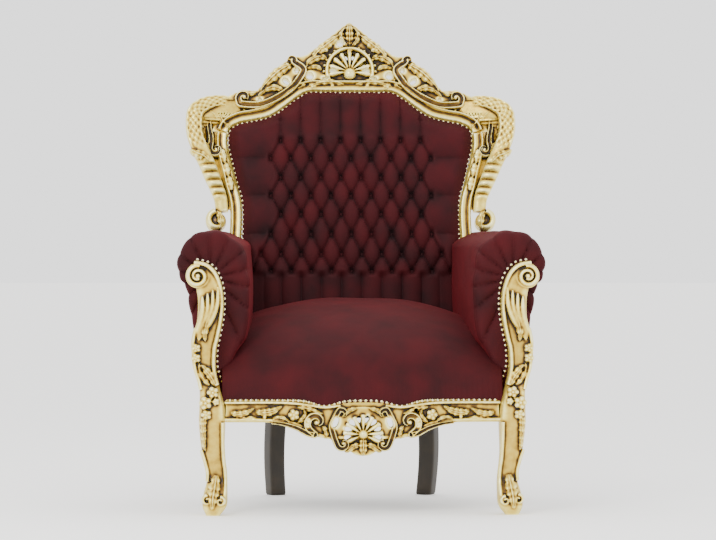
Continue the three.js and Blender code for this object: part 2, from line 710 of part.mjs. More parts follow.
function sideRail() {
  const { thick, frontX, rearX, rearY } = SIDE_RAIL;
  const high = RAIL.top - 3;
  return loft([[frontX, RAIL.front - 54], [rearX + 18, 60 - rearY - 10]].map(([x, z]) => [
    [-0.5, RAIL.bottom], [0.5, RAIL.bottom], [0.6, RAIL.bottom + 7], [0.42, RAIL.bottom + 12],
    [0.42, high - 10], [0.5, high], [-0.5, high],
  ].map(([across, y]) => new THREE.Vector3(x + across * thick, y, z))));
}

function rearRail() {
  const half = STILE.innerX - 2;
  const high = RAIL.top - 3;
  return loft([-half, half].map((x) => [
    [RAIL.bottom, -160], [high, -160], [high, -192], [RAIL.bottom, -192],
  ].map(([y, z]) => new THREE.Vector3(x, y, z))));
}

function rearLeg() {
  const { x, side, turn, top, topY, footY } = REAR_LEG;
  const angle = THREE.MathUtils.degToRad(turn);
  const rings = [0, 0.2, 0.4, 0.6, 0.8, 1].map((t) => {
    const height = top * (1 - t);
    const depth = -(topY + (footY - topY) * t ** 1.7);
    const lean = 5 * Math.sin(Math.PI * t);
    const half = side / 2 * (1 - 0.06 * t);
    const chamfer = half * 0.8;
    return [[half, chamfer], [chamfer, half], [-chamfer, half], [-half, chamfer], [-half, -chamfer],
      [-chamfer, -half], [chamfer, -half], [half, -chamfer]].map(([a, b]) => new THREE.Vector3(
      x + lean + a * Math.cos(angle) - b * Math.sin(angle), height,
      depth + a * Math.sin(angle) + b * Math.cos(angle)));
  });
  return loft(rings);
}

// ---------- upholstery ----------

// Depth of the reclined face of the back at one height, as z of the upright panels.
const backFace = (height) => -(BACK_FOOT.y + (height - BACK_FOOT.z) * Math.tan(RECLINE));

const ARM_SECTION = [
  [366, 269], [389, 414], [407, 518], [422, 545], [428, 572], [423, 604],
  [406, 632], [380, 650], [345, 656], [318, 648], [297, 629], [281, 598], [273, 530],
  [275, 467], [284, 405], [302, 350], [322, 320], [322, 269],
];

function armLoft(grow) {
  const heart = [350, 500];
  const rows = [
    [0, 0.88, 0], [0.04, 1, 0.5], [0.5, 1, 1], [1, 1, 0.6],
  ];
  return loft(rows.map(([t, scale, swell]) => ARM_SECTION.map(([x, y]) => {
    const inner = x < 300 && y > 380 ? 1 : 0;
    const px = heart[0] + (x - heart[0]) * scale - 30 * t * (x > 300 ? 1 : 0.2) - inner * swell * 12;
    const py = y < 300 ? y : heart[1] + (y - heart[1]) * scale;
    const rear = backFace(py) - 22;
    const z = (ARM.front + grow) + (rear - ARM.front - grow) * t;
    const side = Math.sign(px - heart[0]) * grow;
    return new THREE.Vector3(px + side, py + (py > 600 ? grow : 0), z);
  })));
}

function seatHeight(x, t) {
  const crown = along([2, 78, 118, 148, 172, 190, 203, 214, 221, 226, 227, 224, 214])(t ** 0.75);
  return crown * (1 - 0.34 * (Math.abs(x) / 330) ** 2.5);
}

function seatLoft() {
  const columns = 8;
  const rows = [0, 0.012, 0.045, 0.11, 0.24, 0.45, 0.72, 1];
  const half = 324;
  return loft(rows.map((t) => {
    const ring = [];
    for (let j = 0; j <= columns; j += 1) {
      const x = half * (1 - 2 * j / columns);
      ring.push([x, RAIL.top + GAP + seatHeight(x, t)]);
    }
    for (let j = 0; j <= columns; j += 1) {
      const x = half * (2 * j / columns - 1);
      ring.push([x, RAIL.top + GAP]);
    }
    return ring.map(([x, y]) => {
      const front = RAIL.front - 3 + bow(x);
      const rear = backFace(y) + 42;
      return new THREE.Vector3(x, y, front + (rear - front) * t);
    });
  }));
}

function paddedPanel(rows, bottom = PAD_BOTTOM) {
  const lower = rise(bottom);
  const line = between(nailLine, lower, Infinity);
  const half = [...line, [insideEdge(lower), lower]];
  const outline = [...half, ...half.slice(1).reverse().map(([x, y]) => [-x, y])];
  const centre = new THREE.Vector2(0, rise(700));
  return loft(rows.map(([inset, z]) => outline.map(([x, y]) => {
    const toCentre = new THREE.Vector2(centre.x - x, centre.y - y).normalize().multiplyScalar(inset);
    return new THREE.Vector3(x + toCentre.x, y + toCentre.y, z);
  })));
}

// ---------- the chair ----------

const upright = new THREE.Group();
upright.rotation.x = Math.PI / 2;

const back = new THREE.Group();
back.position.set(0, BACK_FOOT.y, BACK_FOOT.z);
back.rotation.x = Math.PI / 2 - RECLINE;

function add(parent, name, geometry, finish) {
  const mesh = new THREE.Mesh(geometry, new THREE.MeshStandardMaterial(finish));
  mesh.name = name;
  parent.add(mesh);
}

function addPair(parent, name, manifold, finish) {
  const geometry = toGeometry(manifold);
  add(parent, `${name}_right`, geometry, finish);
  add(parent, `${name}_left`, mirrored(geometry), finish);
}

// From the back's reclined panel to the upright panels.
const backToUpright = new THREE.Matrix4().makeRotationX(-RECLINE)
  .setPosition(0, BACK_FOOT.z, -BACK_FOOT.y);
const reclined = (geometry) => geometry.clone().applyMatrix4(backToUpright);

add(back, 'crest_rail', toGeometry(crestRail()), GOLD);
addPair(back, 'stile', stile(), GOLD);
addPair(back, 'wing', wing(), GOLD);
add(upright, 'front_rail', toGeometry(frontRail()), GOLD);
addPair(upright, 'front_post', frontPost(), GOLD);
addPair(upright, 'side_rail', solid(sideRail()), GOLD);
add(upright, 'rear_rail', rearRail(), DARK_WOOD);
addPair(upright, 'rear_leg', solid(rearLeg()), DARK_WOOD);

const BACK_PAD_ROWS = [[1.2, -8], [1.2, 4], [12, 18], [34, 30], [70, 36]];
const OUTSIDE_PAD_ROWS = [[1.2, -9], [1.2, FRAME_BACK + 2], [60, FRAME_BACK - 4]];
add(back, 'back_pad', paddedPanel(BACK_PAD_ROWS), VELVET);
add(back, 'outside_back', paddedPanel(OUTSIDE_PAD_ROWS, OUTSIDE_BOTTOM), VELVET);

const armCutters = [
  postLoft(GAP), reclined(loft(stileRings(1, PLATE_FRONT + MOULDING.height + 3))),
  reclined(paddedPanel([
    ...OUTSIDE_PAD_ROWS.slice(1).reverse(), ...BACK_PAD_ROWS,
  ].map(([inset, z]) => [inset - 3 * GAP, z + 3 * GAP * Math.sign(z)]))),
];
addPair(upright, 'arm_pad', cut(solid(armLoft(0)), armCutters), VELVET);
add(upright, 'seat_pad', toGeometry(cut(solid(seatLoft()),
  bothSides([armLoft(GAP), postLoft(GAP)]))), VELVET);

const group = new THREE.Group();
group.add(upright, back);
group.updateMatrixWorld(true);
const box = new THREE.Box3().setFromObject(group, true);
group.position.y = -(box.min.y + box.max.y) / 2;

export default group;
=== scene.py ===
"""A carved and gilded throne chair with buttoned crimson velvet, dressed around its frame."""
import logging
import math
from dataclasses import dataclass, field
from enum import Enum
from typing import Callable, Optional, Sequence

import bpy
import numpy as np
from mathutils import Euler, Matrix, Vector


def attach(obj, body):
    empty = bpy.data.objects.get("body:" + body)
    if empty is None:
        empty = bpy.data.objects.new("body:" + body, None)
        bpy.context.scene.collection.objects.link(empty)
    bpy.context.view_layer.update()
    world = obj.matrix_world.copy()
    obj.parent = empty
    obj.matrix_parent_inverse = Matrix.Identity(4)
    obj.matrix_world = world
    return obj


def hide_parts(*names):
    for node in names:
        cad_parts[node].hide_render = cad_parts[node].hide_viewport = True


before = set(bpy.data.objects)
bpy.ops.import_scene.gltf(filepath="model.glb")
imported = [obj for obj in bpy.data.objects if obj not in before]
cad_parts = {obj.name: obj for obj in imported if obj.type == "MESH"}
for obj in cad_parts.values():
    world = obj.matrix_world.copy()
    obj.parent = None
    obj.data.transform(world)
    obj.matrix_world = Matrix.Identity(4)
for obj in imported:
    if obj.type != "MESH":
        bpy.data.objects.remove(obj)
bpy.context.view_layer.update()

log = logging.getLogger("throne")

Point = tuple[float, float]
Points = Sequence[Point]
Along = Callable[[np.ndarray], np.ndarray]

SHIFT_Y = 0.0091            # the chair's middle is set over the origin by this much
BODY = "root"
MM = 0.001


# ---------- small geometry helpers ----------

def curve_through(points: Points, count: int) -> np.ndarray:
    """Sample a smooth curve through points.

    Args:
        points: the points, as (x, y) pairs.
        count: how many samples to take.

    Returns:
        An array of count rows, evenly spaced in the curve's parameter.
    """
    p = np.asarray(points, dtype=float)
    t = np.linspace(0.0, len(p) - 1.0, count)
    i = np.minimum(t.astype(int), len(p) - 2)
    w = (t - i)[:, None]
    p0 = p[np.where(i > 0, i - 1, i)]
    p1, p2 = p[i], p[i + 1]
    p3 = p[np.where(i < len(p) - 2, i + 2, i + 1)]
    v0, v1 = (p2 - p0) * 0.5, (p3 - p1) * 0.5
    return ((2 * p1 - 2 * p2 + v0 + v1) * w ** 3 + (-3 * p1 + 3 * p2 - 2 * v0 - v1) * w ** 2
            + v0 * w + p1)


def spiral(cx: float, cy: float, r0: float, r1: float, a0: float, a1: float, count: int) -> list[Point]:
    """Points of a spiral.

    Args:
        cx: centre, across.
        cy: centre, up.
        r0: first radius.
        r1: last radius.
        a0: first angle in degrees.
        a1: last angle in degrees.
        count: number of steps.

    Returns:
        The points from the first radius to the last.
    """
    points = []
    for i in range(count + 1):
        t = i / count
        angle = math.radians(a0 + (a1 - a0) * t)
        radius = r0 + (r1 - r0) * t
        points.append((cx + radius * math.cos(angle), cy + radius * math.sin(angle)))
    return points


def along(*values: float) -> Along:
    """A function that runs evenly through values as its input goes from 0 to 1."""
    spots = np.linspace(0.0, 1.0, len(values))
    return lambda t: np.interp(t, spots, values)


def swell(full: float, ends: float = 0.1, power: float = 0.5) -> Along:
    """A width that is full in the middle and narrows to a share of it at both ends."""
    return lambda t: full * np.maximum(ends, np.sin(np.pi * np.clip(t, 0.0, 1.0)) ** power)


def tangents(path: np.ndarray) -> np.ndarray:
    """Unit tangents of a sampled path."""
    step = np.gradient(path, axis=0)
    return step / np.maximum(np.linalg.norm(step, axis=1, keepdims=True), 1e-9)


# ---------- cross-sections of carved members ----------

class Section(Enum):
    """Cross-section of a carved scroll or moulding, from one edge (-1) to the other (1)."""

    ROLL = "roll"
    CHANNEL = "channel"
    CYMA = "cyma"
    BAND = "band"

    def height(self, a: np.ndarray) -> np.ndarray:
        """Height above the ground, as a share of the full height.

        Args:
            a: places across the member.

        Returns:
            One height for each place.
        """
        edge = np.sqrt(np.maximum(1.0 - np.abs(a) ** 4, 0.0))
        if self is Section.ROLL:
            return np.sqrt(np.maximum(1.0 - a ** 2, 0.0))
        if self is Section.CHANNEL:
            return edge * (0.55 + 0.45 * np.exp(-((np.abs(a) - 0.7) / 0.22) ** 2))
        if self is Section.CYMA:
            inner = 0.42 + 0.1 * np.exp(-((a + 0.8) / 0.15) ** 2)
            outer = 0.58 * np.exp(-((a - 0.68) / 0.26) ** 2)
            hollow = -0.16 * np.exp(-((a - 0.05) / 0.3) ** 2)
            return edge * (inner + outer + hollow)
        return edge * (0.9 + 0.1 * np.cos(np.pi * a))


# ---------- carving ----------

@dataclass
class Carving:
    """Closed shells in a panel: x to the right, y up, z towards the viewer, in metres."""

    vertices: list[np.ndarray] = field(default_factory=list)
    faces: list[np.ndarray] = field(default_factory=list)
    count: int = 0

    def add(self, vertices: np.ndarray, faces: np.ndarray) -> None:
        """Add one shell: its vertices and its triangles."""
        self.vertices.append(vertices)
        self.faces.append(faces + self.count)
        self.count += len(vertices)

    def rings(self, rings: np.ndarray) -> None:
        """Close a stack of rings into a shell.

        Args:
            rings: an array of rings, each a closed loop with the same number of points.
        """
        n, m = rings.shape[:2]
        i, j = np.meshgrid(np.arange(n - 1), np.arange(m), indexing="ij")
        a = (i * m + j).ravel()
        b = (i * m + (j + 1) % m).ravel()
        side = np.concatenate([np.stack([a, b, a + m], 1), np.stack([b, b + m, a + m], 1)])
        hubs = np.stack([rings[0].mean(axis=0), rings[-1].mean(axis=0)])
        k = np.arange(m)
        first = np.stack([(k + 1) % m, k, np.full(m, n * m)], 1)
        last = np.stack([(n - 1) * m + k, (n - 1) * m + (k + 1) % m, np.full(m, n * m + 1)], 1)
        vertices = np.concatenate([rings.reshape(-1, 3), hubs])
        faces = np.concatenate([side, first, last])
        v = vertices[faces]
        if np.einsum("ij,ij->i", v[:, 0], np.cross(v[:, 1], v[:, 2])).sum() < 0:
            faces = faces[:, ::-1]
        self.add(vertices, faces)

    def strip(self, points: Points, half: Along, high: Along, section: Section = Section.ROLL,
              ground: Along = along(0.0, 0.0), sink: float = 0.004, steps: int = 60, across: int = 15,
              relief: Optional[Callable[[np.ndarray, np.ndarray], np.ndarray]] = None) -> None:
        """Carve a member along a curve.

        Args:
            points: the curve's points, as (x, y) pairs.
            half: half of the member's width along the curve.
            high: its height along the curve.
            section: its cross-section.
            ground: the level it stands on, along the curve.
            sink: how far it goes into the ground.
            steps: samples along the curve.
            across: samples across it.
            relief: extra height for places across and along it.
        """
        path = curve_through(points, steps + 1)
        side = tangents(path)[:, ::-1] * np.array([-1.0, 1.0])
        t = np.linspace(0.0, 1.0, steps + 1)
        a = np.sin(np.linspace(-0.5, 0.5, across) * np.pi)
        width, rise, base = half(t), high(t), ground(t)
        top = base[:, None] + rise[:, None] * section.height(a)[None, :]
        if relief is not None:
            top = top + relief(a[None, :], t[:, None])
        flat = path[:, None, :] + side[:, None, :] * (a[None, :, None] * width[:, None, None])
        upper = np.concatenate([flat, top[..., None]], axis=2)
        low = np.stack([upper[:, -1], upper[:, 0]], axis=1)
        low[..., 2] = (base - sink)[:, None]
        self.rings(np.concatenate([upper, low], axis=1))

    def leaf(self, points: Points, half: float, high: float, lobes: int = 4,
             ground: Along = along(0.0, 0.0), sink: float = 0.004) -> None:
        """Carve a pointed acanthus leaf from its stalk to its tip.

        Args:
            points: the midrib's points.
            half: half of the leaf's greatest width.
            high: its greatest height.
            lobes: lobes on each side.
            ground: the level it lies on.
            sink: how far it goes into the ground.
        """
        def lobed(t: np.ndarray) -> np.ndarray:
            """Half width with rounded lobes."""
            body = np.maximum(0.06, np.sin(np.pi * np.clip(0.1 + 0.9 * t, 0, 1)) ** 0.75)
            return half * body * (0.7 + 0.38 * np.abs(np.sin(np.pi * t * lobes)) ** 0.6)

        def veins(a: np.ndarray, t: np.ndarray) -> np.ndarray:
            """Midrib and side veins."""
            rib = 0.22 * np.exp(-(a / 0.16) ** 2) - 0.2 * np.exp(-((np.abs(a) - 0.28) / 0.14) ** 2)
            side = -0.17 * np.cos(2 * np.pi * (t * lobes - 0.45 * np.abs(a))) * np.abs(a)
            tip = -0.25 * (1 - np.sin(np.pi * np.clip(t, 0.0, 1.0)) ** 0.4)
            return high * (rib + side + tip)

        self.strip(points, lobed, lambda t: high * (0.5 + 0.5 * np.sin(np.pi * t) ** 0.5),
                   Section.ROLL, ground, sink, steps=lobes * 12, across=17, relief=veins)

    def rosette(self, cx: float, cy: float, radius: float, high: float, petals: int = 5,
                ground: float = 0.0, sink: float = 0.004) -> None:
        """Carve a flower with petals round a raised heart.

        Args:
            cx: centre, across.
            cy: centre, up.
            radius: its outer radius.
            high: its height.
            petals: number of petals, or 0 for a plain boss.
            ground: the level it stands on.
            sink: how far it goes into the ground.
        """
        angle = np.linspace(0.0, 2 * np.pi, 48, endpoint=False)
        rings = []
        for r in (1.0, 1.0, 0.94, 0.82, 0.66, 0.5, 0.36, 0.3, 0.22, 0.1):
            first = len(rings) == 0
            if petals:
                wave = np.abs(np.cos(petals * angle / 2)) ** 0.7
                reach = radius * r * (0.74 + 0.26 * wave) if r > 0.34 else radius * r * np.ones(48)
                dish = 0.35 + 0.5 * math.sin(math.pi * min(r, 0.95)) ** 0.6 * (0.5 + 0.5 * wave)
                level = dish if r > 0.34 else 0.55 + 0.45 * math.cos(r / 0.34 * math.pi / 2)
            else:
                reach = radius * r * np.ones(48)
                level = math.sqrt(max(0.0, 1 - r * r))
            z = np.full(48, ground - sink) if first else ground + high * (level * np.ones(48))
            rings.append(np.stack([cx + reach * np.cos(angle), cy + reach * np.sin(angle), z], 1))
        self.rings(np.array(rings))

    def shell(self, cx: float, cy: float, ribs: int, span: Point, reach: Point, high: float,
              ground: float) -> None:
        """Carve the ribs of a scallop shell.

        Args:
            cx: the hinge, across.
            cy: the hinge, up.
            ribs: number of ribs.
            span: first and last rib's angle in degrees.
            reach: inner and outer radius.
            high: height of a rib.
            ground: the level it stands on.
        """
        spread = math.radians(abs(span[1] - span[0]) / (ribs - 1)) * 0.4
        for i in range(ribs):
            angle = math.radians(span[0] + (span[1] - span[0]) * i / (ribs - 1))
            line = [(cx + r * math.cos(angle), cy + r * math.sin(angle))
                    for r in np.linspace(reach[0], reach[1], 4)]
            self.strip(line, lambda t: spread * (reach[0] + (reach[1] - reach[0]) * t)
                       * (1 - 0.55 * np.clip((t - 0.82) / 0.18, 0, 1) ** 2),
                       lambda t: high * (0.65 + 0.35 * np.sin(np.pi * t * 0.8)), Section.ROLL,
                       along(ground, ground), steps=18, across=11)

    def plate(self, outline: np.ndarray, low: float, high: float, edge: float = 0.002) -> None:
        """Saw a plate out of a board, with softened edges.

        Args:
            outline: its outer edge.
            low: rear face.
            high: front face.
            edge: radius of the softened edges.
        """
        curve = bpy.data.curves.new("plate", "CURVE")
        curve.dimensions = "2D"
        curve.fill_mode = "BOTH"
        curve.extrude = (high - low) / 2 - edge
        curve.bevel_depth = edge
        curve.bevel_resolution = 1
        curve.offset = -edge
        spline = curve.splines.new("POLY")
        spline.points.add(len(outline) - 1)
        spline.use_cyclic_u = True
        for point, (x, y) in zip(spline.points, outline):
            point.co = (x, y, 0.0, 1.0)
        holder = bpy.data.objects.new("plate", curve)
        bpy.context.scene.collection.objects.link(holder)
        select_only(holder)
        bpy.ops.object.convert(target="MESH")
        mesh = bpy.context.view_layer.objects.active.data
        mesh.calc_loop_triangles()
        vertices = np.empty(len(mesh.vertices) * 3)
        mesh.vertices.foreach_get("co", vertices)
        vertices = vertices.reshape(-1, 3) + np.array([0.0, 0.0, (low + high) / 2])
        triangles = np.empty(len(mesh.loop_triangles) * 3, dtype=int)
        mesh.loop_triangles.foreach_get("vertices", triangles)
        self.add(vertices, triangles.reshape(-1, 3))
        bpy.ops.object.delete()

    def mirror(self) -> None:
        """Add the mirror image of everything carved so far."""
        for vertices, faces in list(zip(self.vertices, self.faces)):
            first = faces.min()
            self.add(vertices * np.array([-1.0, 1.0, 1.0]), faces[:, ::-1] - first)

    def bent(self, bow: Callable[[np.ndarray], np.ndarray]) -> None:
        """Push every shell forward by a bow that depends on the place across."""
        for vertices in self.vertices:
            vertices[:, 2] += bow(vertices[:, 0])


def oval(cx: float, cy: float, rx: float, ry: Optional[float] = None, turn: float = 0.0) -> np.ndarray:
    """The edge of a pierced round or oval hole."""
    angle = np.linspace(0.0, -2 * np.pi, 20, endpoint=False)
    x, y = rx * np.cos(angle), (ry or rx) * np.sin(angle)
    c, s = math.cos(math.radians(turn)), math.sin(math.radians(turn))
    return np.stack([cx + x * c - y * s, cy + x * s + y * c], 1)


def shell_slots(cx: float, cy: float, ribs: int, span: Point, reach: Point) -> list[np.ndarray]:
    """The slots between a shell's ribs, round at their outer ends."""
    slots = []
    for i in range(ribs - 1):
        angle = math.radians(span[0] + (span[1] - span[0]) * (i + 0.5) / (ribs - 1))
        spread = math.radians(abs(span[1] - span[0]) / (ribs - 1)) * 0.3
        c, s = math.cos(angle), math.sin(angle)
        middle = (reach[0] + reach[1]) / 2
        slot = oval(0.0, 0.0, (reach[1] - reach[0]) / 2, spread * middle)
        slot[:, 1] *= 1 + 0.5 * slot[:, 0] / ((reach[1] - reach[0]) / 2)
        slot[:, 0] += middle
        across, up = slot[:, 0] * c - slot[:, 1] * s, slot[:, 0] * s + slot[:, 1] * c
        slots.append(np.stack([cx + across, cy + up], 1))
    return slots


# ---------- objects ----------

def select_only(*objects: bpy.types.Object) -> None:
    """Select these objects and nothing else, the first one active."""
    if bpy.context.view_layer.objects.active and bpy.context.mode != "OBJECT":
        bpy.ops.object.mode_set(mode="OBJECT")
    bpy.ops.object.select_all(action="DESELECT")
    for item in objects:
        item.select_set(True)
    bpy.context.view_layer.objects.active = objects[0]


def new_object(name: str, vertices: np.ndarray, faces: Sequence[Sequence[int]]) -> bpy.types.Object:
    """Make a mesh object from vertices and faces, and select it."""
    mesh = bpy.data.meshes.new(name)
    mesh.from_pydata(vertices.tolist(), [], [list(map(int, face)) for face in faces])
    mesh.update()
    item = bpy.data.objects.new(name, mesh)
    bpy.context.scene.collection.objects.link(item)
    select_only(item)
    return item


def coordinates(item: bpy.types.Object) -> np.ndarray:
    """An object's vertices."""
    flat = np.empty(len(item.data.vertices) * 3)
    item.data.vertices.foreach_get("co", flat)
    return flat.reshape(-1, 3)


def move_vertices(item: bpy.types.Object, vertices: np.ndarray) -> None:
    """Give an object's vertices new places."""
    item.data.vertices.foreach_set("co", vertices.ravel())
    item.data.update()


def shade_smooth(item: bpy.types.Object) -> None:
    """Shade an object smoothly."""
    item.data.polygons.foreach_set("use_smooth", [True] * len(item.data.polygons))
    item.data.update()


def neighbour_mean(values: np.ndarray, edges: np.ndarray) -> np.ndarray:
    """The mean of each vertex's neighbours."""
    total = np.zeros_like(values)
    count = np.zeros(len(values))
    for a, b in ((0, 1), (1, 0)):
        np.add.at(total, edges[:, a], values[edges[:, b]])
        np.add.at(count, edges[:, a], 1.0)
    return total / np.maximum(count, 1.0)[:, None]


def store_rubbing_shade_and_highlight(item: bpy.types.Object, rounds: int, scale: float) -> None:
    """Keep how far each place stands out of the carving around it: low in the hollows for the gilder's patina
    and painted shade, high on the raised carving for painted highlights.

    Args:
        item: the carved piece.
        rounds: how wide the surroundings are, in rounds of averaging.
        scale: the height that counts as fully raised, in metres.
    """
    mesh = item.data
    edges = np.empty(len(mesh.edges) * 2, dtype=int)
    mesh.edges.foreach_get("vertices", edges)
    edges = edges.reshape(-1, 2)
    places = coordinates(item)
    normals = np.empty(len(mesh.vertices) * 3)
    mesh.vertex_normals.foreach_get("vector", normals)
    normals = normals.reshape(-1, 3)
    mean = places
    for _ in range(rounds):
        mean = neighbour_mean(mean, edges)
    raised = np.einsum("ij,ij->i", places - mean, normals)[:, None]
    raised = neighbour_mean(raised, edges)[:, 0]
    rubbing_shade_and_highlight = np.clip(0.5 + 0.5 * raised / scale, 0.0, 1.0)
    attribute = mesh.attributes.new("rubbing_shade_and_highlight", "FLOAT", "POINT")
    attribute.data.foreach_set("value", rubbing_shade_and_highlight)


def store_fold_shade(item: bpy.types.Object, values: np.ndarray) -> None:
    """Keep how deep each place lies in the folds, for painted shade that darkens the velvet there."""
    layer = item.data.attributes.new("fold", "FLOAT", "POINT")
    layer.data.foreach_set("value", values.astype(np.float32))


# ---------- panels that carry the carving ----------

def mm(points: Points) -> list[Point]:
    """Points given in millimetres, in metres."""
    return [(x * MM, y * MM) for x, y in points]


@dataclass(frozen=True)
class BackPanel:
    """The reclined face of the back. Heights are given above the floor."""

    foot_y: float = 0.200 + SHIFT_Y
    foot_z: float = 0.400
    recline: float = math.radians(11.5)

    def rise(self, height: float) -> float:
        """Distance up the panel of a height above the floor."""
        return (height - self.foot_z) / math.cos(self.recline)

    def raised(self, points: Points) -> list[Point]:
        """Points given as millimetres across and millimetres above the floor, in the panel."""
        return [(x * MM, self.rise(z * MM)) for x, z in points]

    def place(self, v: np.ndarray) -> np.ndarray:
        """Panel coordinates in the chair's frame."""
        c, s = math.cos(self.recline), math.sin(self.recline)
        return np.stack([v[:, 0], self.foot_y + v[:, 1] * s - v[:, 2] * c,
                         self.foot_z + v[:, 1] * c + v[:, 2] * s], 1)

    def facing(self) -> np.ndarray:
        """The direction that the back faces."""
        return np.array([0.0, -math.cos(self.recline), math.sin(self.recline)])


@dataclass(frozen=True)
class UprightPanel:
    """A plain upright panel: z is the distance in front of the chair's middle."""

    def place(self, v: np.ndarray) -> np.ndarray:
        """Panel coordinates in the chair's frame."""
        return np.stack([v[:, 0], SHIFT_Y - v[:, 2], v[:, 1]], 1)


BACK = BackPanel()
UPRIGHT = UprightPanel()

NAIL_LINE = BACK.raised([
    (0, 1007), (60, 1007), (100, 1007), (126, 996), (163, 968), (201, 944), (240, 934), (276, 927),
    (301, 912), (307, 884), (303, 849), (293.5, 812), (284.5, 775), (276, 745), (271.5, 716),
    (271, 679), (273, 640), (276, 560), (277, 470), (277, 380), (275, 300), (275, 262),
])
SHOULDER = BACK.rise(0.905)
FRAME_BACK = -0.026
PLATE_FRONT = 0.006


def beside(points: Points, distance: float, count: int) -> np.ndarray:
    """A sampled line that runs beside a curve at a distance."""
    path = curve_through(points, count)
    side = tangents(path)[:, ::-1] * np.array([-1.0, 1.0])
    return path + side * distance


def inside_edge(y: np.ndarray) -> np.ndarray:
    """How far from the middle the back's nails run at these places up the panel."""
    path = curve_through(NAIL_LINE, 400)
    order = np.argsort(path[:, 1])
    return np.interp(y, path[order, 1], path[order, 0])


# ---------- carved pieces ----------

@dataclass
class CarvedPiece:
    """A carved and gilded piece of the frame."""

    name: str
    nodes: tuple[str, ...]
    voxel: float = 0.0018
    smoothing: int = 3

    def finish(self, carving: Carving, place: Callable[[np.ndarray], np.ndarray],
               plugs: Sequence[np.ndarray] = (), mirrored: bool = False) -> bpy.types.Object:
        """Fuse the carved shells, pierce them, soften them and set them in the chair.

        Args:
            carving: the shells.
            place: from panel coordinates to the chair's frame.
            plugs: edges of the holes to pierce.
            mirrored: whether to turn the piece into its mirror image.

        Returns:
            The finished piece, on its body.
        """
        item = new_object(self.name, np.concatenate(carving.vertices), np.concatenate(carving.faces))
        item.data.remesh_voxel_size = self.voxel
        bpy.ops.object.voxel_remesh()
        if len(plugs):
            self.pierce(item, plugs)
        smooth = item.modifiers.new("soften", "SMOOTH")
        smooth.factor = 0.5
        smooth.iterations = self.smoothing
        select_only(item)
        bpy.ops.object.modifier_apply(modifier=smooth.name)
        places = place(coordinates(item))
        if mirrored:
            places[:, 0] *= -1.0
        move_vertices(item, places)
        if mirrored:
            item.data.flip_normals()
        # Patina and painted shade in the hollows, painted highlights on the raised carving.
        store_rubbing_shade_and_highlight(item, 14, 0.0016)
        shade_smooth(item)
        dress(item, self.nodes, "gilt")
        return item

    def pierce(self, item: bpy.types.Object, plugs: Sequence[np.ndarray]) -> None:
        """Cut holes right through the piece.

        Args:
            item: the piece, still in its panel.
            plugs: the edges of the holes.
        """
        cutter = Carving()
        for edge in plugs:
            ring = np.concatenate([edge, np.zeros((len(edge), 1))], axis=1)
            depth = np.array([0.0, 0.0, 0.5])
            cutter.rings(np.array([ring - depth, ring + depth]))
        tool = new_object("plugs", np.concatenate(cutter.vertices), np.concatenate(cutter.faces))
        cut = item.modifiers.new("pierce", "BOOLEAN")
        cut.operation = "DIFFERENCE"
        cut.solver = "FAST"
        cut.object = tool
        select_only(item)
        bpy.ops.object.modifier_apply(modifier=cut.name)
        select_only(tool)
        bpy.ops.object.delete()


def dress(item: bpy.types.Object, nodes: Sequence[str], finish: str) -> None:
    """Give a piece its finish, its body and the solids that it stands for."""
    item.data.materials.clear()
    item.data.materials.append(FINISHES[finish])
    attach(item, BODY)
    if nodes:
        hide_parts(*nodes)
    log.info("%s: %d faces", item.name, len(item.data.polygons))


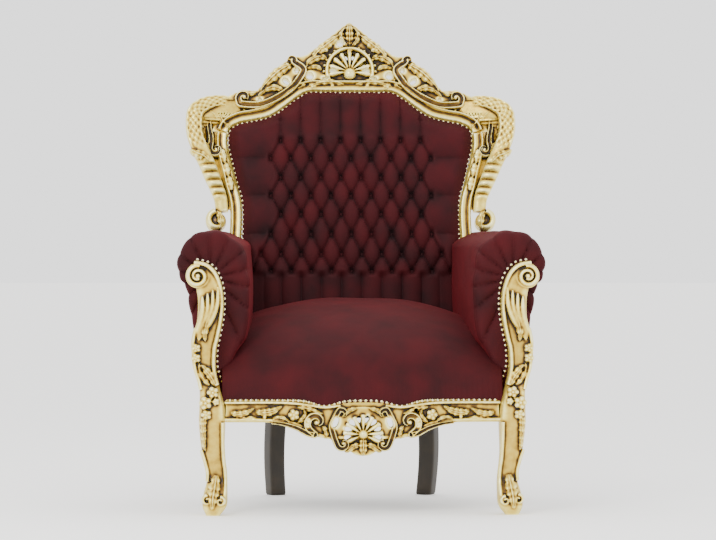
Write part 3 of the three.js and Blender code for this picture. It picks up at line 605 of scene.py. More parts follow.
@dataclass
class CrestRail(CarvedPiece):
    """The top rail of the back, with its pierced shell cresting."""

    name: str = "carved_crest"
    nodes: tuple[str, ...] = ("crest_rail",)
    voxel: float = 0.0019
    edge: Points = ((0, 1183), (15, 1173), (34, 1158), (52, 1143), (74, 1126), (94, 1110), (114, 1098),
                    (137, 1093.5), (160, 1083), (178, 1066), (194, 1051), (216, 1028), (232, 1010),
                    (250, 1009), (268, 1009), (284, 1004), (300, 997), (318, 993))
    corner: Points = ((344, 976), (350, 942), (346, 905.4))
    hinge: Point = (0.0, 1057)
    ribs: int = 9
    span: Point = (-8.0, 188.0)

    def outline(self) -> np.ndarray:
        """The rail's whole outer edge, its top edge cut into small leaf tips."""
        top = curve_through(BACK.raised(self.edge), 200)
        side = tangents(top)[:, ::-1] * np.array([-1.0, 1.0])
        tips = 0.0022 * np.abs(np.sin(np.linspace(0, 24 * np.pi, 200)))
        top = top + side * tips[:, None]
        top[0, 0] = 0.0
        nails = curve_through(NAIL_LINE, 240)
        lower = nails[nails[:, 1] > SHOULDER + 0.0004][::-1]
        last = np.array([[float(inside_edge(np.array(SHOULDER))), SHOULDER + 0.0004]])
        half = np.concatenate([top, np.array(BACK.raised(self.corner)), last, lower])
        return np.concatenate([half, (half[1:-1] * np.array([-1.0, 1.0]))[::-1]])

    def plugs(self) -> list[np.ndarray]:
        """The pierced holes on both sides, and the shell's slots."""
        at = BACK.rise
        right = [oval(0.0235, at(1.131), 0.0085), oval(0.100, at(1.048), 0.0085),
                 oval(0.060, at(1.0415), 0.0085, 0.0032, 4), oval(0.160, at(1.034), 0.0065, 0.0105, -45),
                 oval(0.133, at(1.062), 0.0052), oval(0.226, at(0.987), 0.0045)]
        left = [hole[::-1] * np.array([-1.0, 1.0]) for hole in right]
        slots = shell_slots(0.0, at(self.hinge[1] * MM), self.ribs, self.span, (0.031, 0.050))
        return right + left + slots

    def carve(self) -> bpy.types.Object:
        """Carve the rail."""
        at = BACK.rise
        c = Carving()
        ground = along(PLATE_FRONT, PLATE_FRONT)
        c.strip(spiral(0.149, at(1.084), 0.005, 0.011, 30, 200, 6)
                + BACK.raised([(117, 1062), (128, 1037), (148, 1013), (184, 989), (227, 972)])
                + spiral(0.266, at(0.989), 0.017, 0.006, -70, 200, 8),
                swell(0.0105, 0.45, 0.4), along(0.013, 0.018, 0.019, 0.018, 0.020), Section.CHANNEL,
                ground, steps=150)
        c.rosette(0.2655, at(0.990), 0.0062, 0.019, 0, PLATE_FRONT)
        for points, half, high, lobes in (
                ([(146, 1076), (174, 1060), (200, 1037), (225, 1008)], 0.0135, 0.015, 6),
                ([(166, 1006), (185, 1016), (208, 1013), (232, 994)], 0.0095, 0.013, 4),
                ([(56, 1092), (78, 1094), (101, 1081), (113, 1060)], 0.0100, 0.014, 4),
                ([(14, 1024), (46, 1031), (76, 1028), (106, 1020)], 0.0085, 0.012, 5),
                ([(92, 1093), (74, 1112), (48, 1132), (20, 1154)], 0.0125, 0.014, 6),
                ([(70, 1062), (82, 1070), (96, 1070), (108, 1064)], 0.0070, 0.010, 3),
                ([(4, 1120), (16, 1136), (20, 1152), (10, 1170)], 0.0090, 0.015, 4),
                ([(236, 1004), (252, 1000), (268, 1006), (282, 1001)], 0.0070, 0.012, 3),
                ([(300, 915), (318, 930), (326, 955), (316, 985)], 0.0095, 0.012, 5),
                ([(118, 1042), (112, 1032), (120, 1020), (134, 1012)], 0.0060, 0.010, 3)):
            c.leaf(BACK.raised(points), half, high, lobes, ground)
        c.rosette(0.066, at(1.117), 0.0135, 0.017, 5, PLATE_FRONT)
        c.rosette(0.093, at(1.0235), 0.0105, 0.012, 5, PLATE_FRONT)
        c.rosette(0.276, at(0.955), 0.0090, 0.007, 5, PLATE_FRONT)
        c.rosette(0.044, at(1.022), 0.0060, 0.009, 0, PLATE_FRONT)
        for i in range(7):
            angle = math.radians(90 - 14 * (i + 0.5))
            c.rosette(0.065 * math.cos(angle), at(1.059) + 0.063 * math.sin(angle), 0.0038, 0.010, 0,
                      PLATE_FRONT)
        c.mirror()
        c.leaf(BACK.raised([(0, 1122), (0, 1150), (0, 1182)]), 0.0125, 0.019, 5, ground)
        c.rosette(0.0, at(1.111), 0.0075, 0.013, 5, PLATE_FRONT)
        c.rosette(0.0, at(1.052), 0.0165, 0.017, 0, PLATE_FRONT)
        c.shell(0.0, at(self.hinge[1] * MM), self.ribs, self.span, (0.010, 0.0515), 0.013, PLATE_FRONT)
        c.strip(spiral(0.0, at(1.060), 0.0575, 0.0575, -24, 204, 16), along(0.0055, 0.0055),
                along(0.013, 0.013), Section.ROLL, ground, steps=90)
        line = beside(NAIL_LINE, 0.016, 240)
        line = line[line[:, 1] > SHOULDER + 0.0004]
        whole = np.concatenate([(line[1:] * np.array([-1.0, 1.0]))[::-1], line])
        c.strip(whole[::2], along(0.0135, 0.0135), along(0.015, 0.015), Section.CYMA, ground, 0.006,
                steps=300, across=19)
        c.plate(self.outline(), FRAME_BACK, PLATE_FRONT)
        return self.finish(c, BACK.place, self.plugs())


@dataclass
class Stile(CarvedPiece):
    """One side member of the back, with the moulding that runs down beside the nails."""

    name: str = "gilt_stile_right"
    nodes: tuple[str, ...] = ("stile_right",)
    mirrored: bool = False
    voxel: float = 0.0019
    width: float = 0.030

    def carve(self) -> bpy.types.Object:
        """Carve the stile."""
        c = Carving()
        y = np.linspace(SHOULDER, BACK.rise(0.217), 120)
        x = inside_edge(y)
        section = [(0.0, FRAME_BACK), (self.width, FRAME_BACK), (self.width, PLATE_FRONT - 0.004),
                   (self.width - 0.004, PLATE_FRONT), (0.0, PLATE_FRONT)]
        c.rings(np.stack([np.stack([x + dx, y, np.full_like(y, z)], 1) for dx, z in section], 1))
        line = beside(NAIL_LINE, 0.016, 400)
        line = line[(line[:, 1] < SHOULDER - 0.001) & (line[:, 1] > BACK.rise(0.225))]
        c.strip(line[::3], along(0.0132, 0.0132), along(0.015, 0.015), Section.CYMA,
                along(PLATE_FRONT, PLATE_FRONT), 0.006, steps=260, across=19)
        for height in (0.842, 0.808, 0.774):
            y_leaf = BACK.rise(height)
            x_leaf = float(inside_edge(np.array(y_leaf))) + 0.016
            c.leaf([(x_leaf + 0.004, y_leaf + 0.018), (x_leaf, y_leaf), (x_leaf - 0.003, y_leaf - 0.018)],
                   0.008, 0.006, 3, along(PLATE_FRONT + 0.009, PLATE_FRONT + 0.009))
        return self.finish(c, BACK.place, (), self.mirrored)


@dataclass
class Wing(CarvedPiece):
    """The ear that stands forward from the side of the back, broad at the top."""

    name: str = "gilt_wing_right"
    nodes: tuple[str, ...] = ("wing_right",)
    mirrored: bool = False
    voxel: float = 0.001855
    band: Points = ((304, 983), (334, 980), (363, 969), (386, 949), (391, 920), (388, 887), (375, 853),
                    (359, 820), (347, 792), (335, 764), (325, 738), (321, 704))
    halves: tuple[float, ...] = (.013, .015, .018, .0205, .0205, .020, .020, .020, .0195, .0175, .0165, .0155)
    levels: tuple[float, ...] = (.006, .018, .034, .046, .052, .050, .044, .036, .026, .018, .010, .006)

    def carve(self) -> bpy.types.Object:
        """Carve the wing."""
        at = BACK.rise
        c = Carving()
        line = BACK.raised(self.band)
        ground = along(*self.levels)

        def modelled(a: np.ndarray, t: np.ndarray) -> np.ndarray:
            """A pitted broad band above, gadroons across it below."""
            pitted = np.clip((0.56 - t) / 0.06, 0, 1) * np.clip(t / 0.05, 0, 1)
            rows = 0.0016 * np.sin(2 * np.pi * t * 19) * np.sin(2 * np.pi * a * 1.5 + 0.8)
            lips = 0.0035 * np.exp(-((np.abs(a) - 0.86) / 0.1) ** 2)
            ribs = np.clip((t - 0.6) / 0.05, 0, 1) * np.clip((0.93 - t) / 0.05, 0, 1)
            slant = t + 0.018 * a
            return (pitted * (rows + lips)
                    + ribs * 0.0065 * (np.abs(np.sin(np.pi * slant * 17)) ** 0.7 - 0.6))

        c.strip(line, along(*self.halves), along(0.010, 0.011, 0.011, 0.010), Section.BAND, ground, 0.014,
                steps=220, across=25, relief=modelled)
        rings = []
        path = curve_through(line, 200)
        for height in np.linspace(0.984, 0.712, 36):
            y = at(height)
            near = np.argmin(np.abs(path[40:, 1] - y)) + 40
            outer = path[near, 0]
            front = float(ground(np.array(near / 199.0)))
            inner = float(inside_edge(np.array(y))) + 0.022
            spread = np.linspace(0.0, 1.0, 12)
            top = 0.002 + (front - 0.002) * spread ** 2.2
            upper = np.stack([inner + (outer - inner) * spread, np.full(12, y), top], 1)
            lower = np.array([[outer, y, front - 0.012], [inner, y, -0.012]])
            rings.append(np.concatenate([upper, lower]))
        c.rings(np.array(rings))
        c.strip(BACK.raised([(336, 974), (350, 952), (353, 918), (348, 886)])
                + spiral(0.337, at(0.859), 0.0145, 0.004, 20, -300, 8),
                swell(0.0085, 0.4, 0.4), along(0.016, 0.016), Section.CHANNEL,
                along(0.006, 0.009, 0.010, 0.008), 0.014, steps=110)
        c.rosette(0.337, at(0.859), 0.005, 0.016, 0, 0.008, 0.01)
        c.leaf(BACK.raised([(330, 930), (340, 946), (356, 956), (374, 958)]), 0.009, 0.010, 4,
               along(0.008, 0.026), 0.016)
        c.leaf(BACK.raised([(352, 842), (360, 862), (372, 880), (374, 902)]), 0.008, 0.010, 4,
               along(0.016, 0.034), 0.016)
        for height, x in ((0.934, 0.371), (0.913, 0.3725), (0.893, 0.371), (0.874, 0.367), (0.858, 0.361)):
            c.rosette(x, at(height), 0.0052, 0.009, 0, 0.028, 0.02)
        c.leaf(BACK.raised([(352, 822), (366, 834), (382, 840), (402, 850)]), 0.0125, 0.012, 4,
               along(0.040, 0.052), 0.02)
        c.strip(spiral(0.333, at(0.682), 0.0235, 0.010, 78, -260, 12), along(.009, .008, .0065, .005),
                along(0.017, 0.014), Section.ROLL, along(0.008, 0.006), 0.03, steps=80)
        c.rosette(0.333, at(0.682), 0.022, 0.010, 0, 0.004, 0.03)
        c.leaf(BACK.raised([(334, 706), (326, 690), (324, 674), (328, 660)]), 0.0095, 0.012, 3,
               along(0.012, 0.014), 0.014)
        return self.finish(c, BACK.place, (), self.mirrored)


def bow(x: np.ndarray) -> np.ndarray:
    """How far the front of the seat bows forward."""
    return 0.022 * np.cos(np.pi * x / 0.630) ** 2


def rail_top(x: np.ndarray) -> np.ndarray:
    """Height of the front rail's top edge."""
    return 0.267 - 0.013 * np.exp(-((np.abs(x) - 0.088) / 0.034) ** 2)


def rail_bottom(x: np.ndarray) -> np.ndarray:
    """Height of the front rail's lower edge."""
    return 0.2135 - 0.039 / (1 + np.exp((np.abs(x) - 0.132) / 0.017))


@dataclass
class FrontRail(CarvedPiece):
    """The bowed front rail with the shell that hangs at its middle."""

    name: str = "carved_front_rail"
    nodes: tuple[str, ...] = ("front_rail",)
    voxel: float = 0.0016
    front: float = 0.366
    cartouche: Points = ((0, 137), (16, 139), (30, 147), (46, 150), (60, 160), (72, 172), (80, 190),
                         (79, 208), (70, 226), (54, 240), (30, 248), (0, 250))
    hinge: Point = (0.0, 0.186)
    ribs: int = 9
    span: Point = (-24.0, 204.0)

    def plugs(self) -> list[np.ndarray]:
        """The pierced holes and the shell's slots."""
        right = [oval(0.0625, 0.2135, 0.0062, 0.0125, 20), oval(0.122, 0.2415, 0.0052),
                 oval(0.128, 0.2135, 0.0058, 0.0078, -30), oval(0.0395, 0.1845, 0.0032)]
        left = [hole[::-1] * np.array([-1.0, 1.0]) for hole in right]
        return right + left + shell_slots(*self.hinge, self.ribs, self.span, (0.0265, 0.0445))

    def carve(self) -> bpy.types.Object:
        """Carve the rail."""
        c = Carving()
        level = self.front - 0.003
        ground = along(level, level)
        c.strip(mm([(210, 214), (182, 210), (152, 201), (128, 189), (110, 185)])
                + spiral(0.107, 0.214, 0.0245, 0.006, -65, 230, 12), swell(0.0095, 0.45, 0.4),
                along(0.014, 0.018, 0.018), Section.CHANNEL, ground, steps=120)
        c.rosette(0.107, 0.214, 0.0065, 0.018, 0, level)
        c.strip(spiral(0.048, 0.233, 0.005, 0.0115, 230, 50, 6)
                + mm([(65, 224), (72.5, 205), (68, 184)])
                + spiral(0.046, 0.166, 0.0150, 0.004, -5, -280, 8), swell(0.0075, 0.45, 0.4),
                along(0.015, 0.017, 0.016), Section.CHANNEL, along(self.front - 0.002, self.front - 0.002),
                steps=120)
        c.rosette(0.046, 0.166, 0.0045, 0.017, 0, level)
        for points, half, high, lobes in (
                ([(246, 238), (226, 236), (206, 240), (186, 251)], 0.0100, 0.012, 5),
                ([(150, 249), (128, 246), (112, 240), (92, 233)], 0.0068, 0.011, 4),
                ([(4, 162), (20, 160), (34, 151), (42, 145)], 0.0080, 0.014, 3),
                ([(150, 214), (138, 222), (132, 232), (136, 243)], 0.0070, 0.011, 3),
                ([(208, 222), (192, 224), (178, 220), (166, 212)], 0.0065, 0.010, 3),
                ([(304, 236), (286, 232), (268, 236), (250, 246)], 0.0085, 0.010, 4),
                ([(300, 222), (280, 221), (258, 224), (238, 220)], 0.0055, 0.008, 4),
                ([(94, 206), (86, 196), (84, 184), (88, 176)], 0.0065, 0.011, 3),
                ([(14, 246), (28, 243), (40, 236), (48, 226)], 0.0060, 0.013, 3)):
            c.leaf(mm(points), half, high, lobes, ground)
        c.rosette(0.159, 0.231, 0.0130, 0.015, 5, level)
        c.rosette(0.226, 0.2265, 0.0055, 0.010, 0, level)
        c.strip(mm([(318, 219.5), (250, 219.5), (206, 218), (180, 214), (156, 203)]), along(0.0042, 0.0042),
                along(0.009, 0.009), Section.ROLL, ground, steps=60, across=9)
        c.strip(mm([(318, 258.5), (180, 258.5), (120, 252), (88, 248.5), (52, 252)]),
                along(0.0035, 0.0035), along(0.007, 0.007), Section.ROLL, ground, steps=60, across=9)
        c.mirror()
        half = curve_through(mm(self.cartouche), 80)
        half[0, 0] = half[-1, 0] = 0.0
        outline = np.concatenate([half, (half[1:-1] * np.array([-1.0, 1.0]))[::-1]])
        c.plate(outline, self.front - 0.024, self.front + 0.001)
        c.shell(*self.hinge, self.ribs, self.span, (0.010, 0.0462), 0.014, self.front - 0.004)
        c.rosette(*self.hinge, 0.0125, 0.018, 0, level)
        c.leaf(mm([(0, 178), (0, 158), (0, 138)]), 0.0115, 0.017, 4, ground)
        x = np.linspace(-0.315, 0.315, 121)
        low, high = rail_bottom(x), rail_top(x)
        f = self.front
        section = [(low, f - 0.034), (low, f + 0.002), (low + 0.003, f + 0.004), (low + 0.008, f + 0.002),
                   (low + 0.010, f - 0.003), (high - 0.002, f - 0.003), (high, f - 0.005), (high, f - 0.034)]
        c.rings(np.stack([np.stack([x, y, np.full_like(x, z)], 1) for y, z in section], 1))
        c.bent(bow)
        return self.finish(c, UPRIGHT.place, self.plugs())


@dataclass
class FrontPost(CarvedPiece):
    """A front leg and the arm support above it, ending in a volute."""

    name: str = "gilt_post_right"
    nodes: tuple[str, ...] = ("front_post_right",)
    mirrored: bool = False
    voxel: float = 0.0017
    rows: tuple[tuple[float, ...], ...] = (
        (0, 329, 360, 386, 44), (22, 313, 369, 394, 56), (50, 311, 366, 386, 56), (84, 312, 358, 368, 46),
        (118, 316, 363, 366, 46), (150, 318, 371, 371, 54), (209, 316, 377, 386, 72),
        (250, 318, 376, 393, 76), (290, 328, 376, 388, 70), (334, 338, 388, 378, 58),
        (378, 338, 393, 372, 52), (411, 331, 389, 370, 50), (449, 323, 381, 372, 50),
        (488, 320, 379, 378, 52), (520, 324, 383, 384, 54), (548, 334, 394, 386, 54),
        (568, 352, 400, 385, 53), (577, 368, 394, 384, 52))

    def at(self, height: float, column: int) -> float:
        """One of the row's dimensions at a height, in metres."""
        table = np.array(self.rows) * MM
        return float(np.interp(height, table[:, 0], table[:, column]))

    def front_between(self, start: float, end: float, out: float = 0.0) -> Along:
        """The level of the front face from one height to another."""
        levels = [self.at(start + (end - start) * i / 12, 3) + out for i in range(13)]
        return along(*levels)

    def body(self) -> np.ndarray:
        """Rings of the whole member, hollowed down its front between two raised edges."""
        table = np.array(self.rows) * MM
        heights = np.concatenate([np.linspace(0.0, 0.12, 26)[:-1], np.linspace(0.12, 0.577, 70)])
        smoothed = curve_through(table[:, :2], 600)
        inner = np.interp(heights, smoothed[:, 0], smoothed[:, 1])
        outer = np.interp(heights, *curve_through(table[:, [0, 2]], 600).T)
        front = np.interp(heights, *curve_through(table[:, [0, 3]], 600).T)
        thick = np.interp(heights, *curve_through(table[:, [0, 4]], 600).T)
        angle = np.linspace(0.0, 2 * np.pi, 44, endpoint=False)
        c, s = np.cos(angle), np.sin(angle)
        box_x = np.sign(c) * np.abs(c) ** 0.55
        box_z = np.sign(s) * np.abs(s) ** 0.55
        rings = []
        for y, x0, x1, z1, t in zip(heights, inner, outer, front, thick):
            x = (x0 + x1) / 2 + box_x * (x1 - x0) / 2
            z = z1 - t / 2 + box_z * t / 2
            cove = 0.0055 * math.exp(-((y - 0.33) / 0.28) ** 4) * np.exp(-(box_x / 0.62) ** 4)
            z = np.where(box_z > 0.2, z - cove * box_z, z)
            rings.append(np.stack([x, np.full_like(x, y), z], 1))
        return np.array(rings)

    def carve(self) -> bpy.types.Object:
        """Carve the post."""
        c = Carving()
        c.rings(self.body())
        c.strip(mm([(388, 580), (361, 575), (341, 557), (328.5, 525), (324.5, 488), (327.5, 449),
                    (335, 411), (342, 378), (342.5, 334), (335, 300)]), along(0.0052, 0.0052),
                along(0.011, 0.010), Section.ROLL, self.front_between(0.579, 0.302, -0.005), steps=90)
        c.strip(mm([(384, 430), (390, 400), (389, 370), (386, 340), (377, 312), (372, 290)]),
                along(0.0045, 0.0045), along(0.009, 0.009), Section.ROLL,
                self.front_between(0.430, 0.290, -0.006), steps=50)
        c.strip(spiral(0.3795, 0.550, 0.0245, 0.006, 100, -480, 26), along(.0058, .0058, .005, .004),
                along(0.010, 0.012, 0.014), Section.ROLL, along(0.381, 0.381), 0.02, steps=150)
        c.rosette(0.3795, 0.550, 0.0065, 0.017, 0, 0.382, 0.02)
        c.rosette(0.3795, 0.550, 0.0275, 0.002, 0, 0.383, 0.050)
        for i in range(4):
            line = [(333 + i * 12.0, 524 - i * 7), (335 + i * 11.0, 488 - i * 5),
                    (347 + i * 8.5, 454 - i * 2), (364 + i * 5.5, 426), (378 + i * 2.5, 402 + i * 4)]
            c.strip(mm(line), swell(0.0075, 0.25, 0.5), swell(0.011, 0.4, 0.5), Section.ROLL,
                    self.front_between(0.524, 0.402, -0.005), steps=60)
        for i in range(3):
            c.leaf(mm([(338 + i * 14, 476 - i * 4), (347 + i * 12, 458 - i * 3), (360 + i * 9, 441)]),
                   0.0042, 0.006, 3, self.front_between(0.476, 0.441, 0.001))
        c.leaf(mm([(358, 452), (362, 432), (364, 416), (362, 400)]), 0.0085, 0.012, 3,
               self.front_between(0.452, 0.400, -0.003))
        for x, height, radius, high in ((383, 384, 0.0105, 0.013), (384, 361, 0.0115, 0.014),
                                        (345, 283, 0.0135, 0.015), (362, 259, 0.0150, 0.016),
                                        (360, 232, 0.0120, 0.014), (338, 262, 0.0085, 0.012)):
            c.rosette(x * MM, height * MM, radius, high, 5, self.at(height * MM, 3) - 0.005)
        c.leaf(mm([(338, 298), (348, 318), (360, 333), (372, 346)]), 0.0105, 0.011, 4,
               self.front_between(0.298, 0.346, -0.004))
        c.leaf(mm([(352, 300), (364, 312), (374, 330), (376, 350)]), 0.0070, 0.009, 3,
               self.front_between(0.300, 0.350, -0.004))
        for i, height in enumerate((212, 194, 176, 160)):
            top, low = (height + 14) * MM, (height - 12) * MM
            c.leaf(mm([(366 - i * 0.6, height + 14), (367 - i * 0.6, height + 2), (365 - i, height - 12)]),
                   0.0085 - i * 0.0012, 0.012, 3, self.front_between(top, low, -0.004))
        c.strip(mm([(323, 214), (322.5, 170), (320.5, 130), (316.5, 96), (316.5, 62), (321, 28)]),
                along(0.0048, 0.0048), along(0.010, 0.009), Section.ROLL,
                self.front_between(0.214, 0.028, -0.005), steps=60)
        c.strip(mm([(371, 150), (362.5, 122), (357, 98), (357.5, 78)]), along(0.0042, 0.0042),
                along(0.008, 0.008), Section.ROLL, self.front_between(0.150, 0.078, -0.005), steps=40)
        c.leaf(mm([(337, 92), (341, 64), (345, 40), (347, 14)]), 0.0150, 0.013, 5,
               self.front_between(0.092, 0.014, -0.004))
        for x, height, radius in ((357, 36, 0.0115), (328, 33, 0.0110)):
            level = self.at(height * MM, 3) - 0.006
            end = -330 if x > 340 else 510
            c.strip(spiral(x * MM, height * MM, radius, 0.003, 90, end, 14), along(0.0045, 0.003),
                    along(0.010, 0.011), Section.ROLL, along(level, level), steps=60, across=9)
        return self.finish(c, UPRIGHT.place, (), self.mirrored)


@dataclass
class SideRail(CarvedPiece):
    """A side rail of the seat, in its own panel: x runs from the front post to the back."""

    name: str = "carved_side_rail_right"
    nodes: tuple[str, ...] = ("side_rail_right",)
    mirrored: bool = False
    voxel: float = 0.0020
    front: Point = (0.344, 0.312)
    rear: Point = (0.280, -0.155)

    def place(self, v: np.ndarray) -> np.ndarray:
        """Panel coordinates in the chair's frame."""
        start, end = np.array(self.front), np.array(self.rear)
        run = (end - start) / np.linalg.norm(end - start)
        out = np.array([-run[1], run[0]])
        flat = start + v[:, :1] * run + v[:, 2:] * out
        return np.stack([flat[:, 0], SHIFT_Y - flat[:, 1], v[:, 1]], 1)

    def carve(self) -> bpy.types.Object:
        """Carve the rail."""
        c = Carving()
        length = float(np.linalg.norm(np.array(self.rear) - np.array(self.front)))
        x = np.linspace(0.0, length, 90)
        section = [(0.2135, -0.015), (0.2135, 0.014), (0.217, 0.017), (0.2215, 0.016), (0.2245, 0.012),
                   (0.255, 0.012), (0.2575, 0.0145), (0.261, 0.015), (0.264, 0.013), (0.264, -0.015)]
        c.rings(np.stack([np.stack([x, np.full_like(x, y), np.full_like(x, z)], 1) for y, z in section], 1))
        ground = along(0.0115, 0.0115)
        middle = length / 2
        for side in (-1.0, 1.0):
            for start, end in ((0.022, 0.078), (0.086, 0.138), (0.146, 0.192)):
                line = [(middle + side * start, 0.2400), (middle + side * (start + end) / 2, 0.2455),
                        (middle + side * end, 0.2375)]
                c.leaf(line, 0.0085, 0.008, 4, ground)
        c.rosette(middle, 0.2400, 0.0125, 0.011, 6, 0.0115)
        return self.finish(c, self.place, (), self.mirrored)


# ---------- plain wood ----------

def lofted(name: str, rings: Sequence[np.ndarray], mirrored: bool) -> bpy.types.Object:
    """Close rings of the upright panel into a smooth piece.

    Args:
        name: the piece's name.
        rings: its rings, all with the same number of points.
        mirrored: whether to make the mirror image, for the left side.

    Returns:
        The piece, in the chair's frame.
    """
    shell = Carving()
    shell.rings(np.array(rings))
    places, faces = UPRIGHT.place(shell.vertices[0]), shell.faces[0]
    if mirrored:
        places[:, 0] *= -1.0
        faces = faces[:, ::-1]
    item = new_object(name, places, faces)
    shade_smooth(item)
    return item


@dataclass
class PlainWood:
    """The plain stained parts that stand behind: the rear rail and the rear legs."""

    half_span: float = 0.273
    leg_x: float = 0.187
    leg_side: float = 0.043
    leg_turn: float = math.radians(25.0)
    leg_top: float = 0.213
    leg_top_y: float = 0.196
    leg_foot_y: float = 0.262
    leg_points: int = 48
    leg_rings: int = 40
    squareness: float = 0.3
    foot_ease: float = 0.0015

    def rail(self) -> bpy.types.Object:
        """Make the rear rail."""
        c = Carving()
        x = np.linspace(-self.half_span, self.half_span, 24)
        y = 0.2385 + 0.0255 * np.array([-1, -0.92, 0.92, 1, 1, 0.92, -0.92, -1])
        z = -0.176 + 0.016 * np.array([0.88, 1, 1, 0.88, -0.88, -1, -1, -0.88])
        c.rings(np.stack([np.stack([x, np.full_like(x, b), np.full_like(x, a)], 1) for a, b in zip(z, y)], 1))
        item = new_object("plain_rear_rail", UPRIGHT.place(c.vertices[0]), c.faces[0])
        dress(item, ("rear_rail",), "dark_wood")
        return item

    def leg(self, mirrored: bool) -> bpy.types.Object:
        """Make a rear leg, slightly curved, square with eased edges."""
        rings = []
        angle = np.linspace(0.0, 2 * np.pi, self.leg_points, endpoint=False)
        square = np.stack([np.sign(wave) * np.abs(wave) ** self.squareness
                           for wave in (np.cos(angle), np.sin(angle))], 1)
        c, s = math.cos(self.leg_turn), math.sin(self.leg_turn)
        for t in np.linspace(0.0, 1.0, self.leg_rings):
            depth = self.leg_top_y + (self.leg_foot_y - self.leg_top_y) * t ** 1.7
            half = self.leg_side / 2 * (1 - 0.06 * t)
            if t == 1.0:
                half -= self.foot_ease
            a, b = (square * half).T
            x = self.leg_x + 0.005 * math.sin(math.pi * t) + a * c - b * s
            level = np.full(self.leg_points, self.leg_top * (1 - t))
            rings.append(np.stack([x, level, -depth + a * s + b * c], 1))
        side = "left" if mirrored else "right"
        item = lofted(f"plain_rear_leg_{side}", rings, mirrored)
        dress(item, (f"rear_leg_{side}",), "dark_wood")
        return item


# ---------- upholstery ----------

def grid_faces(rows: int, columns: int) -> np.ndarray:
    """Quads of a grid of vertices."""
    i, j = np.meshgrid(np.arange(rows - 1), np.arange(columns - 1), indexing="ij")
    a = (i * columns + j).ravel()
    return np.stack([a, a + 1, a + columns + 1, a + columns], 1)


def grid_rim(rows: int, columns: int) -> np.ndarray:
    """The outer vertices of a grid, once round."""
    index = np.arange(rows * columns).reshape(rows, columns)
    return np.concatenate([index[0, :-1], index[:-1, -1], index[-1, :0:-1], index[:0:-1, 0]])


def distance_to(x: np.ndarray, y: np.ndarray, path: np.ndarray) -> np.ndarray:
    """Distance of places from a sampled path."""
    nearest = np.full(x.shape, 1e9)
    for px, py in path:
        nearest = np.minimum(nearest, (x - px) ** 2 + (y - py) ** 2)
    return np.sqrt(nearest)


def smoothstep(value: np.ndarray) -> np.ndarray:
    """Turns smoothly from 0 to 1."""
    v = np.clip(value, 0.0, 1.0)
    return v * v * (3 - 2 * v)


